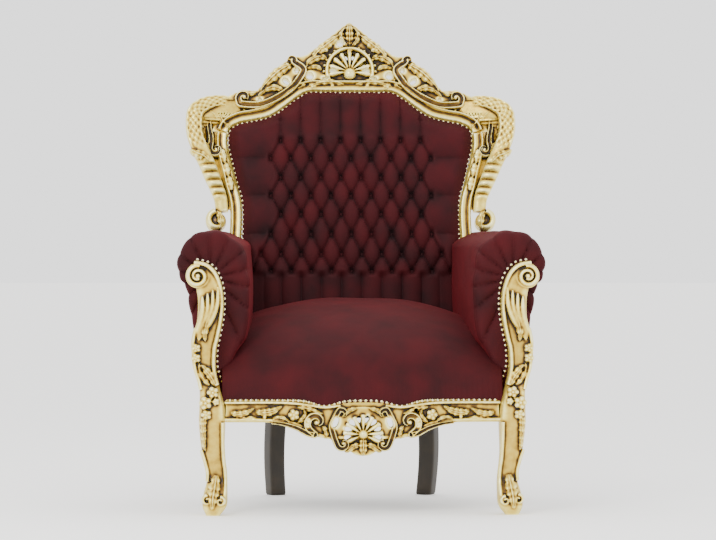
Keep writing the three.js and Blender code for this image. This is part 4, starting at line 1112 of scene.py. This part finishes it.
@dataclass
class BackPad:
    """The deep-buttoned velvet of the back."""

    rows: tuple[float, ...] = (0.881, 0.8355, 0.787, 0.7415, 0.6955, 0.6455, 0.5955, 0.553)
    counts: tuple[int, ...] = (8, 9, 8, 9, 8, 9, 10, 11)
    pitch: float = 0.050
    bottom: float = 0.330
    floor: float = 0.013
    puff: float = 0.023
    roll: float = 0.036
    columns: int = 261
    steps: int = 311

    def row_index(self, height: np.ndarray) -> np.ndarray:
        """Row number, counted down from the top row, of a height above the floor."""
        spots = np.array(self.rows)[::-1]
        index = np.arange(len(self.rows), dtype=float)[::-1]
        inside = np.interp(height, spots, index)
        gap = 0.0465
        above = np.where(height > spots[-1], -(height - spots[-1]) / gap, 0.0)
        below = np.where(height < spots[0], (spots[0] - height) / gap, 0.0)
        return inside + above + below

    def quilting(self, x: np.ndarray, height: np.ndarray) -> np.ndarray:
        """Fullness of the stuffing, 0 at a button and 1 in the middle of a diamond."""
        r = self.row_index(height)
        a = x / self.pitch
        m, n = a + (r + 1) / 2, a - (r + 1) / 2
        fold = np.abs(np.sin(np.pi * m) * np.sin(np.pi * n)) ** 0.42
        near = np.maximum(np.abs(np.cos(np.pi * m)) * np.abs(np.cos(np.pi * n)), 0.0) ** 7
        diamonds = 0.42 * (1 - near) + 0.58 * fold
        pleats = 0.40 + 0.42 * np.abs(np.cos(np.pi * a)) ** 0.5
        sides = 0.42 + 0.42 * np.abs(np.cos(np.pi * r / 2)) ** 0.7
        last = len(self.rows) - 1
        reach = np.interp(r, np.arange(len(self.rows)), [(c - 1) / 2 for c in self.counts])
        over = np.maximum(-r, r - last)
        out = np.abs(a) - reach
        vertical = smoothstep((over + 0.04) / 0.42)
        level = smoothstep((out + 0.02) / 0.40) * (1 - smoothstep(over / 0.9))
        top_pleats = np.where(np.abs(a) < 4.4, pleats, 0.7)
        full = diamonds * (1 - vertical) + top_pleats * vertical
        return full * (1 - level) + sides * level

    def surface(self, x: np.ndarray, y: np.ndarray, edge: np.ndarray) -> np.ndarray:
        """Height of the velvet above the panel."""
        height = BACK.foot_z + y * math.cos(BACK.recline)
        rise = np.sqrt(1 - (1 - np.clip(edge / self.roll, 0.0, 1.0)) ** 2)
        crown = 0.35 + 0.65 * self.quilting(x, height)
        calm = smoothstep(edge / 0.030)
        body = self.floor + self.puff * self.quilting(x, height)
        flat = (self.floor + self.puff * 0.55) * crown
        return 0.002 + rise * (flat * (1 - calm) + body * calm)

    def make(self) -> bpy.types.Object:
        """Make the pad."""
        top = NAIL_LINE[0][1]
        y = np.linspace(BACK.rise(self.bottom), top - 0.0012, self.steps)
        half = inside_edge(y) - 0.0012
        s = np.linspace(-1.0, 1.0, self.columns)
        grid_x = s[None, :] * half[:, None]
        grid_y = np.repeat(y[:, None], self.columns, axis=1)
        line = curve_through(NAIL_LINE, 260)
        path = np.concatenate([line, line * np.array([-1.0, 1.0])])
        edge = distance_to(grid_x, grid_y, path)
        z = self.surface(grid_x, grid_y, edge)
        front = np.stack([grid_x, grid_y, z], 2).reshape(-1, 3)
        places, faces = close_sheet(front, self.steps, self.columns, -0.008)
        item = new_object("buttoned_back", BACK.place(places), faces)
        # Painted shade: the velvet is darkened where the stuffing dips, most at the buttons and along the
        # creases, fading out near the nailed edge.
        height = BACK.foot_z + grid_y * math.cos(BACK.recline)
        calm = smoothstep(edge / 0.06)
        shade = (1 - self.quilting(grid_x, height).ravel()) ** 1.4 * calm.ravel()
        store_fold_shade(item, np.concatenate([shade, np.zeros(len(places) - len(shade))]))
        shade_smooth(item)
        dress(item, ("back_pad",), "velvet")
        return item

    def buttons(self) -> bpy.types.Object:
        """Make the velvet buttons."""
        spots = []
        for height, count in zip(self.rows, self.counts):
            offset = 0.0 if count % 2 else 0.5
            for k in range(-(count // 2), count - count // 2):
                x = (k + offset) * self.pitch
                spots.append((x, BACK.rise(height), self.floor + 0.0025))
        facing = BACK.facing()
        places = BACK.place(np.array(spots))
        vertices, faces = domes(places, np.repeat(facing[None, :], len(places), 0), 0.0068, 0.0045, 14, 4)
        item = new_object("velvet_buttons", vertices, faces)
        # Painted shade: the buttons are darkened evenly, as if they sat in the shade of the folds.
        store_fold_shade(item, np.full(len(vertices), 0.35))
        shade_smooth(item)
        dress(item, (), "velvet")
        return item


def close_sheet(front: np.ndarray, rows: int, columns: int, back: float) -> tuple[np.ndarray, list]:
    """Close a grid into a pad with a flat back.

    Args:
        front: the grid's vertices, row by row.
        rows: number of rows.
        columns: number of columns.
        back: level of the flat back.

    Returns:
        The vertices and the faces.
    """
    rim = grid_rim(rows, columns)
    skirt = front[rim].copy()
    skirt[:, 2] = back
    hub = skirt.mean(axis=0)[None, :]
    n, first = len(rim), len(front)
    k = np.arange(n)
    side = np.stack([rim, first + k, first + (k + 1) % n, rim[(k + 1) % n]], 1)
    cap = np.stack([first + k, np.full(n, first + n), first + (k + 1) % n], 1)
    vertices = np.concatenate([front, skirt, hub])
    return vertices, grid_faces(rows, columns).tolist() + side.tolist() + cap.tolist()


def domes(places: np.ndarray, facing: np.ndarray, radius: float, high: float, around: int,
          rings: int) -> tuple[np.ndarray, list]:
    """Small domes, as one mesh, for nails and buttons.

    Args:
        places: their centres.
        facing: the direction that each one faces.
        radius: their radius.
        high: their height.
        around: vertices round each one.
        rings: rings from the rim to the crown.

    Returns:
        The vertices and the faces.
    """
    angle = np.linspace(0.0, 2 * np.pi, around, endpoint=False)
    levels = np.linspace(0.0, np.pi / 2 * 0.92, rings)
    shape = [np.stack([radius * np.cos(angle), radius * np.sin(angle), np.full(around, -high * 0.5)], 1)]
    for lift in levels:
        r = radius * math.cos(lift)
        shape.append(np.stack([r * np.cos(angle), r * np.sin(angle),
                               np.full(around, high * math.sin(lift))], 1))
    shape.append(np.array([[0.0, 0.0, high], [0.0, 0.0, -high * 0.5]]))
    form = np.concatenate(shape)
    layers = rings + 1
    faces = []
    for i in range(layers - 1):
        for j in range(around):
            a, b = i * around + j, i * around + (j + 1) % around
            faces.append([a, b, b + around, a + around])
    crown, base = layers * around, layers * around + 1
    for j in range(around):
        k = (j + 1) % around
        faces.append([(layers - 1) * around + j, (layers - 1) * around + k, crown, crown])
        faces.append([k, j, base, base])
    faces = [face[:3] if face[2] == face[3] else face for face in faces]
    vertices, all_faces = [], []
    for index, (place, normal) in enumerate(zip(places, facing)):
        turn = np.array(Vector(normal).to_track_quat("Z", "Y").to_matrix())
        vertices.append(form @ turn.T + place)
        all_faces += [[v + index * len(form) for v in face] for face in faces]
    return np.concatenate(vertices), all_faces


@dataclass
class OutsideBack:
    """The plain velvet panel that closes the back behind."""

    bottom: float = 0.267
    columns: int = 81
    steps: int = 121

    def make(self) -> bpy.types.Object:
        """Make the panel."""
        y = np.linspace(BACK.rise(self.bottom), NAIL_LINE[0][1] - 0.0012, self.steps)
        half = inside_edge(y) - 0.0012
        s = np.linspace(-1.0, 1.0, self.columns)
        grid_x = s[None, :] * half[:, None]
        grid_y = np.repeat(y[:, None], self.columns, axis=1)
        line = curve_through(NAIL_LINE, 160)
        path = np.concatenate([line, line * np.array([-1.0, 1.0])])
        edge = distance_to(grid_x, grid_y, path)
        pull = 0.0008 * np.sin(grid_x * 90 + 3 * np.sin(grid_y * 9)) * smoothstep(edge / 0.05)
        z = -0.0245 - 0.0060 * smoothstep(edge / 0.06) + pull
        front = np.stack([grid_x, grid_y, z], 2).reshape(-1, 3)
        places, faces = close_sheet(front, self.steps, self.columns, -0.009)
        faces = [face[::-1] for face in faces]
        item = new_object("outside_back_velvet", BACK.place(places), faces)
        shade_smooth(item)
        dress(item, ("outside_back",), "velvet")
        return item


@dataclass
class UnderCloth:
    """The dust cloth that closes the seat from below, sagging a little."""

    columns: int = 41
    steps: int = 41

    def make(self) -> bpy.types.Object:
        """Make the cloth, tacked inside the rails."""
        z = np.linspace(0.330, -0.158, self.steps)[:, None]
        share = (0.330 - z) / 0.488
        half = 0.318 - 0.048 * share
        x = np.linspace(-1.0, 1.0, self.columns)[None, :] * half
        sag = 0.010 * (1 - (x / half) ** 2) * np.sin(np.pi * share)
        front = np.stack([x, 0.222 - sag, z + 0 * x], 2).reshape(-1, 3)
        places = UPRIGHT.place(np.concatenate([front, front + np.array([0.0, 0.0025, 0.0])]))
        rim = grid_rim(self.steps, self.columns)
        lower = grid_faces(self.steps, self.columns)
        upper = lower[:, ::-1] + len(front)
        turn = np.roll(rim, -1)
        side = np.stack([rim, rim + len(front), turn + len(front), turn], 1)
        item = new_object("under_cloth", places, np.concatenate([lower, upper, side]))
        shade_smooth(item)
        dress(item, (), "under_cloth")
        return item


@dataclass
class ArmPad:
    """A rolled arm, gathered at its front round the post."""

    section: Points = ((366, 269), (389, 414), (407, 518), (422, 545), (428, 572), (423, 604), (406, 632),
                       (380, 650), (345, 656), (318, 648), (297, 629), (281, 598), (273, 530),
                       (275, 467), (284, 405), (302, 350), (322, 320), (322, 269))
    heart: Point = (0.350, 0.500)
    front: float = 0.329
    around: int = 220
    gathers: int = 7

    def outline(self) -> np.ndarray:
        """The roll's smooth closed outline, sampled evenly."""
        points = list(self.section)
        dense = curve_through(mm(points), 900)
        closing = np.linspace(dense[-1], dense[0], 80)[1:-1]
        dense = np.concatenate([dense, closing])
        reach = np.concatenate([[0.0], np.cumsum(np.linalg.norm(np.diff(dense, axis=0), axis=1))])
        spots = np.linspace(0.0, reach[-1], self.around, endpoint=False)
        return np.stack([np.interp(spots, reach, dense[:, i]) for i in (0, 1)], 1)

    def ring(self, t: float, scale: float, bulge: float) -> np.ndarray:
        """One ring of the roll, at a share of its length behind the front."""
        hx, hy = self.heart
        x, y = self.outline().T
        inner = smoothstep((0.318 - x) / 0.03) * smoothstep((y - 0.36) / 0.05)
        taper = np.where(x > 0.300, 1.0, 0.2 + 0.8 * smoothstep((x - 0.270) / 0.03))
        px = hx + (x - hx) * scale - 0.030 * t * taper - inner * bulge * 0.022
        py = np.where(y < 0.300, y, hy + (y - hy) * scale)
        rear = -(0.200 + (py - 0.400) * math.tan(BACK.recline)) - 0.022
        z = self.front + (rear - self.front) * t
        angle = np.arctan2(py - 0.545, px - 0.352)
        fold = np.abs(np.cos(angle * self.gathers))
        depth = 0.0105 * math.exp(-t / 0.06) * smoothstep((py - 0.33) / 0.06)
        shrink = depth * (1 - fold ** 0.30) * smoothstep(np.array((scale - 0.25) / 0.4))
        soft = 0.0012 * np.sin(angle * 9 + t * 16) * math.exp(-t / 0.5)
        px = px - (shrink * 0.8 + soft) * np.cos(angle)
        py = py - (shrink * 0.8 + soft) * np.sin(angle) * (py > 0.30)
        if t < 0.06:
            z = z - shrink * 1.2
        return np.stack([px, py, z], 1)

    def make(self, mirrored: bool) -> bpy.types.Object:
        """Make the arm."""
        rings = []
        for scale in np.linspace(0.04, 0.86, 26):
            ring = self.ring(0.0, scale, 0.0)
            ring[:, 2] += 0.0035 * (1 - (scale / 0.9) ** 2)
            rings.append(ring)
        for k in range(9):
            turn = math.pi / 2 * (k + 1) / 9
            rings.append(self.ring(0.030 * (1 - math.cos(turn)), 0.88 + 0.12 * math.sin(turn),
                                   0.5 * math.sin(turn)))
        for t in np.linspace(0.036, 1.0, 90):
            rings.append(self.ring(float(t), 1.0, 0.5 + 0.5 * math.sin(math.pi * min(1, t) ** 0.8 / 1.25)))
        side = "left" if mirrored else "right"
        item = lofted(f"rolled_arm_{side}", rings, mirrored)
        dress(item, (f"arm_pad_{side}",), "velvet")
        return item


@dataclass
class SeatPad:
    """The full, domed seat."""

    crown: tuple[float, ...] = (2, 78, 118, 148, 172, 190, 203, 214, 221, 226, 227, 224, 214)
    half: float = 0.324
    front: float = 0.3635
    columns: int = 201
    steps: int = 171

    def height(self, x: np.ndarray, t: np.ndarray) -> np.ndarray:
        """Height of the seat above its rails."""
        dense = curve_through([(i, h * MM) for i, h in enumerate(self.crown)], 400)
        rise = np.interp(t ** 0.75 * (len(self.crown) - 1), dense[:, 0], dense[:, 1])
        return rise * (1 - 0.34 * (np.abs(x) / 0.330) ** 2.5)

    def make(self) -> bpy.types.Object:
        """Make the seat."""
        t = np.linspace(0.0, 1.0, self.steps)[:, None] ** 2.0
        x = np.linspace(-1.0, 1.0, self.columns)[None, :] * self.half + np.zeros_like(t)
        rise = self.height(x, t)
        lip = np.exp(-t / 0.006)
        y = 0.2674 + rise * (1 - lip) + (rail_top(x) - 0.2674 - 0.0075) * lip
        front = self.front + bow(x)
        rear = -(0.200 + (y - 0.400) * math.tan(BACK.recline)) + 0.042
        z = front + (rear - front) * t
        pull = 0.0012 * np.exp(-rise / 0.020) * np.cos(2 * np.pi * x / 0.0125)
        z = z + pull + 0.0015 * np.sin(x * 26 + 2.0 * t) * smoothstep(rise / 0.06) * (1 - t)
        y = y + 0.0012 * np.sin(x * 33 + 9 * t) * np.sin(t * 14)
        top = np.stack([x, y, z], 2).reshape(-1, 3)
        rows, columns = self.steps, self.columns
        rim = grid_rim(rows, columns)
        skirt = top[rim].copy()
        skirt[:, 1] = np.minimum(skirt[:, 1], 0.2676)
        inset = np.where(np.arange(len(rim)) < columns - 1, 0.004, 0.0)
        skirt[:, 2] -= inset
        hub = np.array([[0.0, 0.2676, 0.05]])
        n, first = len(rim), len(top)
        k = np.arange(n)
        side = np.stack([rim, first + k, first + (k + 1) % n, rim[(k + 1) % n]], 1)
        cap = np.stack([first + k, np.full(n, first + n), first + (k + 1) % n], 1)
        faces = grid_faces(rows, columns).tolist() + side.tolist() + cap.tolist()
        faces = [face[::-1] for face in faces]
        item = new_object("domed_seat", UPRIGHT.place(np.concatenate([top, skirt, hub])), faces)
        shade_smooth(item)
        dress(item, ("seat_pad",), "velvet")
        return item


@dataclass
class NailRow:
    """A close row of domed upholstery nails."""

    name: str
    pitch: float = 0.0122
    radius: float = 0.0039
    high: float = 0.0034

    def make(self, path: np.ndarray, facing: np.ndarray) -> bpy.types.Object:
        """Set nails evenly along a path.

        Args:
            path: places in the chair's frame.
            facing: the direction that each place faces.

        Returns:
            The nails, as one piece.
        """
        reach = np.concatenate([[0.0], np.cumsum(np.linalg.norm(np.diff(path, axis=0), axis=1))])
        count = max(2, int(round(reach[-1] / self.pitch)) + 1)
        spots = np.linspace(0.0, reach[-1], count)
        places = np.stack([np.interp(spots, reach, path[:, i]) for i in range(3)], 1)
        normals = np.stack([np.interp(spots, reach, facing[:, i]) for i in range(3)], 1)
        vertices, faces = domes(places, normals, self.radius, self.high, 10, 3)
        item = new_object(self.name, vertices, faces)
        shade_smooth(item)
        dress(item, (), "nails")
        return item


def both_sides(line: np.ndarray) -> np.ndarray:
    """A line that starts at the middle, carried on over its mirror image."""
    return np.concatenate([(line[1:] * np.array([-1.0, 1.0]))[::-1], line])


@dataclass
class Nails:
    """All the rows of nails."""

    def make(self) -> list[bpy.types.Object]:
        """Set every row."""
        made = []
        line = beside(NAIL_LINE, -0.0035, 400)
        line = both_sides(line[line[:, 1] > BACK.rise(0.42)])
        panel = np.concatenate([line, np.full((len(line), 1), 0.0085)], 1)
        facing = np.repeat(BACK.facing()[None, :], len(line), 0)
        made.append(NailRow("back_nails").make(BACK.place(panel), facing))
        rear = beside(NAIL_LINE, -0.009, 400)
        rear = both_sides(rear[rear[:, 1] > BACK.rise(0.275)])
        panel = np.concatenate([rear, np.full((len(rear), 1), -0.0255)], 1)
        made.append(NailRow("rear_nails").make(BACK.place(panel), -facing[:1].repeat(len(rear), 0)))
        x = np.linspace(-0.306, 0.306, 300)
        rail = np.stack([x, rail_top(x) - 0.0030, 0.3655 + bow(x)], 1)
        slope = np.gradient(bow(x), x)
        out = np.stack([-slope, -np.ones_like(x), np.zeros_like(x)], 1)
        made.append(NailRow("seat_nails").make(UPRIGHT.place(rail), out))
        inner = curve_through(mm([(380, 588), (354, 581), (334, 561), (321, 528), (317.5, 488), (320.5, 449),
                                  (328, 411), (334, 378), (334, 340), (324, 308), (318, 282)]), 200)
        panel = np.concatenate([inner, np.full((len(inner), 1), 0.3335)], 1)
        for side, label in ((1.0, "right"), (-1.0, "left")):
            places = UPRIGHT.place(panel) * np.array([side, 1.0, 1.0])
            made.append(NailRow(f"arm_nails_{label}").make(places, np.tile([0.0, -1.0, 0.0], (200, 1))))
            z = np.linspace(0.300, -0.180, 100)
            t = (0.329 - z) / 0.529
            low = np.stack([0.3675 - 0.030 * t, np.full(100, 0.2765), z], 1)
            places = UPRIGHT.place(low) * np.array([side, 1.0, 1.0])
            made.append(NailRow(f"side_nails_{label}").make(places, np.tile([side, 0.0, 0.0], (100, 1))))
        return made


# ---------- finishes ----------

class Kind(Enum):
    """Kinds of finish."""

    GILT = "gilt"
    VELVET = "velvet"
    WOOD = "wood"
    METAL = "metal"


@dataclass(frozen=True)
class Finish:
    """A finish: its colours from the deepest to the palest, and how it takes the light."""

    name: str
    kind: Kind
    colours: tuple[str, ...]
    roughness: float = 0.5
    metallic: float = 0.0
    scale: float = 20.0
    bump: float = 0.0
    sheen: float = 0.0
    sheen_tint: str = "ffffff"


def linear(code: str) -> tuple[float, float, float, float]:
    """A hexadecimal colour as linear light."""
    parts = [int(code[i:i + 2], 16) / 255 for i in (0, 2, 4)]
    r, g, b = [p / 12.92 if p <= 0.04045 else ((p + 0.055) / 1.055) ** 2.4 for p in parts]
    return (r, g, b, 1.0)


@dataclass
class Painter:
    """Builds the material for a finish out of shader nodes."""

    finish: Finish
    material: bpy.types.Material = field(init=False)

    def __post_init__(self) -> None:
        """Start the material."""
        self.material = bpy.data.materials.new(self.finish.name)
        self.material.use_nodes = True
        self.tree = self.material.node_tree
        self.shader = self.tree.nodes["Principled BSDF"]
        self.place = self.tree.nodes.new("ShaderNodeTexCoord").outputs["Object"]

    def link(self, source: bpy.types.NodeSocket, target: bpy.types.NodeSocket) -> None:
        """Join two sockets."""
        self.tree.links.new(source, target)

    def noise(self, scale: float, detail: float = 3.0) -> bpy.types.NodeSocket:
        """Noise in the object's own coordinates."""
        node = self.tree.nodes.new("ShaderNodeTexNoise")
        node.inputs["Scale"].default_value = scale
        node.inputs["Detail"].default_value = detail
        self.link(self.place, node.inputs["Vector"])
        return node.outputs["Fac"]

    def ramp(self, source: bpy.types.NodeSocket, stops: Sequence[tuple[float, str]]) -> bpy.types.NodeSocket:
        """A run of colours."""
        node = self.tree.nodes.new("ShaderNodeValToRGB")
        self.link(source, node.inputs["Fac"])
        elements = node.color_ramp.elements
        while len(elements) < len(stops):
            elements.new(0.5)
        for element, (spot, code) in zip(elements, stops):
            element.position = spot
            element.color = linear(code)
        return node.outputs["Color"]

    def sum(self, a: bpy.types.NodeSocket, b: bpy.types.NodeSocket, weight: float,
            shift: float) -> bpy.types.NodeSocket:
        """a + b * weight + shift."""
        times = self.tree.nodes.new("ShaderNodeMath")
        times.operation = "MULTIPLY_ADD"
        self.link(b, times.inputs[0])
        times.inputs[1].default_value = weight
        times.inputs[2].default_value = shift
        plus = self.tree.nodes.new("ShaderNodeMath")
        plus.operation = "ADD"
        self.link(a, plus.inputs[0])
        self.link(times.outputs[0], plus.inputs[1])
        return plus.outputs[0]

    def bumped(self, source: bpy.types.NodeSocket, strength: float, distance: float) -> None:
        """Roughen the surface."""
        node = self.tree.nodes.new("ShaderNodeBump")
        node.inputs["Strength"].default_value = strength
        node.inputs["Distance"].default_value = distance
        self.link(source, node.inputs["Height"])
        self.link(node.outputs["Normal"], self.shader.inputs["Normal"])

    def paint(self) -> bpy.types.Material:
        """Build the material."""
        finish, shader = self.finish, self.shader
        shader.inputs["Roughness"].default_value = finish.roughness
        shader.inputs["Metallic"].default_value = finish.metallic
        last = len(finish.colours) - 1
        even = [(0.15 + 0.7 * i / last, code) for i, code in enumerate(finish.colours)]
        if finish.kind is Kind.GILT:
            # The colour runs from near-black brown in the hollows to pale cream on the raised carving: partly
            # the patina of rubbed gilding, partly painted shade in the hollows and painted highlights on the
            # ridges; the noise adds uneven tone.
            rubbing_shade_and_highlight = self.tree.nodes.new("ShaderNodeAttribute")
            rubbing_shade_and_highlight.attribute_name = "rubbing_shade_and_highlight"
            patina_shade_and_highlight = self.sum(rubbing_shade_and_highlight.outputs["Fac"], self.noise(70.0, 4.0), 0.30, -0.15)
            stops = [(i / last * 0.86 + 0.07, code) for i, code in enumerate(finish.colours)]
            self.link(self.ramp(patina_shade_and_highlight, stops), shader.inputs["Base Color"])
            self.bumped(self.noise(finish.scale, 4.0), finish.bump, 0.001)
        elif finish.kind is Kind.VELVET:
            # The fold attribute darkens the velvet's colour as painted shade in the folds and at the buttons,
            # down to the near-black first stop; the noise gives the pile its uneven tone.
            fold = self.tree.nodes.new("ShaderNodeAttribute")
            fold.attribute_name = "fold"
            nap_and_fold_shade = self.sum(self.noise(finish.scale, 2.0), fold.outputs["Fac"], -0.75, 0.0)
            self.link(self.ramp(nap_and_fold_shade, [(0.0, "120103"), *even[1:]]), shader.inputs["Base Color"])
            shader.inputs["Sheen Weight"].default_value = finish.sheen
            shader.inputs["Sheen Roughness"].default_value = 0.38
            shader.inputs["Sheen Tint"].default_value = linear(finish.sheen_tint)
            shader.inputs["Specular IOR Level"].default_value = 0.2
            self.bumped(self.noise(900.0, 1.0), finish.bump, 0.0004)
        elif finish.kind is Kind.WOOD:
            self.link(self.ramp(self.noise(finish.scale, 5.0), even), shader.inputs["Base Color"])
            self.bumped(self.noise(200.0, 3.0), finish.bump, 0.0005)
        else:
            self.link(self.ramp(self.noise(finish.scale, 2.0), even), shader.inputs["Base Color"])
        log.info("finish %s", finish.name)
        return self.material


FINISH_LIST = (
    # Gilt, from deepest to palest: the dark browns are patina and painted shade of the hollows, the pale
    # creams painted highlights on the raised carving.
    Finish("gilt", Kind.GILT, ("1e1203", "6a4a0e", "c2a038", "dcc45c", "efe086", "fbf3b4"),
           0.32, 0.60, 160.0, 0.25),
    Finish("velvet", Kind.VELVET, ("2a0105", "340207", "400309"), 0.80, 0.0, 14.0, 0.3,
           0.14, "d0142c"),
    Finish("dark_wood", Kind.WOOD, ("171006", "231a0c", "302412"), 0.55, 0.0, 30.0, 0.3),
    Finish("under_cloth", Kind.WOOD, ("16120c", "1c1710", "221c14"), 0.95, 0.0, 220.0, 0.2),
    Finish("nails", Kind.METAL, ("b8ad88", "efe6c4"), 0.20, 1.0, 60.0),
)
FINISHES: dict[str, bpy.types.Material] = {}


# ---------- studio ----------

@dataclass
class Studio:
    """A plain pale floor, soft lights and the camera."""

    floor_tint: str = "f4f3f1"
    floor_radius: float = 60.0
    floor_glow: float = 0.35
    sky: float = 1.9
    lens: float = 161.7
    stand: tuple[float, float, float] = (-0.3525, -7.762 + SHIFT_Y, 0.600)
    aim: Point = (-0.28, -2.6445)

    def floor(self) -> None:
        """Lay the floor, a wide disc, with nothing else selected."""
        bpy.ops.object.select_all(action="DESELECT")
        bpy.ops.mesh.primitive_circle_add(vertices=96, radius=self.floor_radius, fill_type="NGON")
        item = bpy.context.view_layer.objects.active
        item.name = "studio_floor"
        material = bpy.data.materials.new("studio_floor")
        material.use_nodes = True
        shader = material.node_tree.nodes["Principled BSDF"]
        shader.inputs["Base Color"].default_value = linear(self.floor_tint)
        shader.inputs["Roughness"].default_value = 0.9
        shader.inputs["Emission Color"].default_value = (1.0, 1.0, 1.0, 1.0)
        shader.inputs["Emission Strength"].default_value = self.floor_glow
        item.data.materials.append(material)

    def light(self, name: str, place: Point, height: float, size: float, power: float,
              aim: float = 0.6) -> None:
        """Hang a square soft light that faces the chair."""
        data = bpy.data.lights.new(name, "AREA")
        data.size = size
        data.energy = power
        item = bpy.data.objects.new(name, data)
        bpy.context.scene.collection.objects.link(item)
        item.location = (place[0], place[1], height)
        direction = Vector((0.0, 0.0, aim)) - item.location
        item.rotation_euler = direction.to_track_quat("-Z", "Y").to_euler()

    def lights(self) -> None:
        """Hang the lights and set the surroundings."""
        self.light("key", (-1.6, -3.2), 2.6, 1.5, 90.0)
        self.light("fill", (2.6, -2.4), 1.5, 2.2, 20.0)
        self.light("top", (0.2, 0.6), 3.0, 2.0, 20.0)
        world = bpy.data.worlds.new("studio")
        world.use_nodes = True
        shader = world.node_tree.nodes["Background"]
        shader.inputs["Color"].default_value = (1.0, 1.0, 1.0, 1.0)
        shader.inputs["Strength"].default_value = self.sky
        bpy.context.scene.world = world

    def camera(self) -> None:
        """Set the camera in front, slightly to the left and level with the arms."""
        data = bpy.data.cameras.new("camera")
        data.lens = self.lens
        data.sensor_width = 36.0
        item = bpy.data.objects.new("camera", data)
        bpy.context.scene.collection.objects.link(item)
        item.location = self.stand
        pitch, heading = (math.radians(angle) for angle in self.aim)
        item.rotation_euler = Euler((math.pi / 2 + pitch, 0.0, heading))
        bpy.context.scene.camera = item

    def make(self) -> None:
        """Set everything up."""
        self.floor()
        self.lights()
        self.camera()


# ---------- the chair ----------

def main() -> None:
    """Dress the frame and set the studio round it."""
    logging.basicConfig(level=logging.INFO, format="%(name)s: %(message)s")
    for finish in FINISH_LIST:
        FINISHES[finish.name] = Painter(finish).paint()
    CrestRail().carve()
    FrontRail().carve()
    for mirrored, side in ((False, "right"), (True, "left")):
        Stile(f"gilt_stile_{side}", (f"stile_{side}",), mirrored=mirrored).carve()
        Wing(f"gilt_wing_{side}", (f"wing_{side}",), mirrored=mirrored).carve()
        FrontPost(f"gilt_post_{side}", (f"front_post_{side}",), mirrored=mirrored).carve()
        SideRail(f"carved_side_rail_{side}", (f"side_rail_{side}",), mirrored=mirrored).carve()
        ArmPad().make(mirrored)
        PlainWood().leg(mirrored)
    PlainWood().rail()
    pad = BackPad()
    pad.make()
    pad.buttons()
    OutsideBack().make()
    SeatPad().make()
    UnderCloth().make()
    Nails().make()
    Studio().make()


if __name__ == "__main__":
    main()
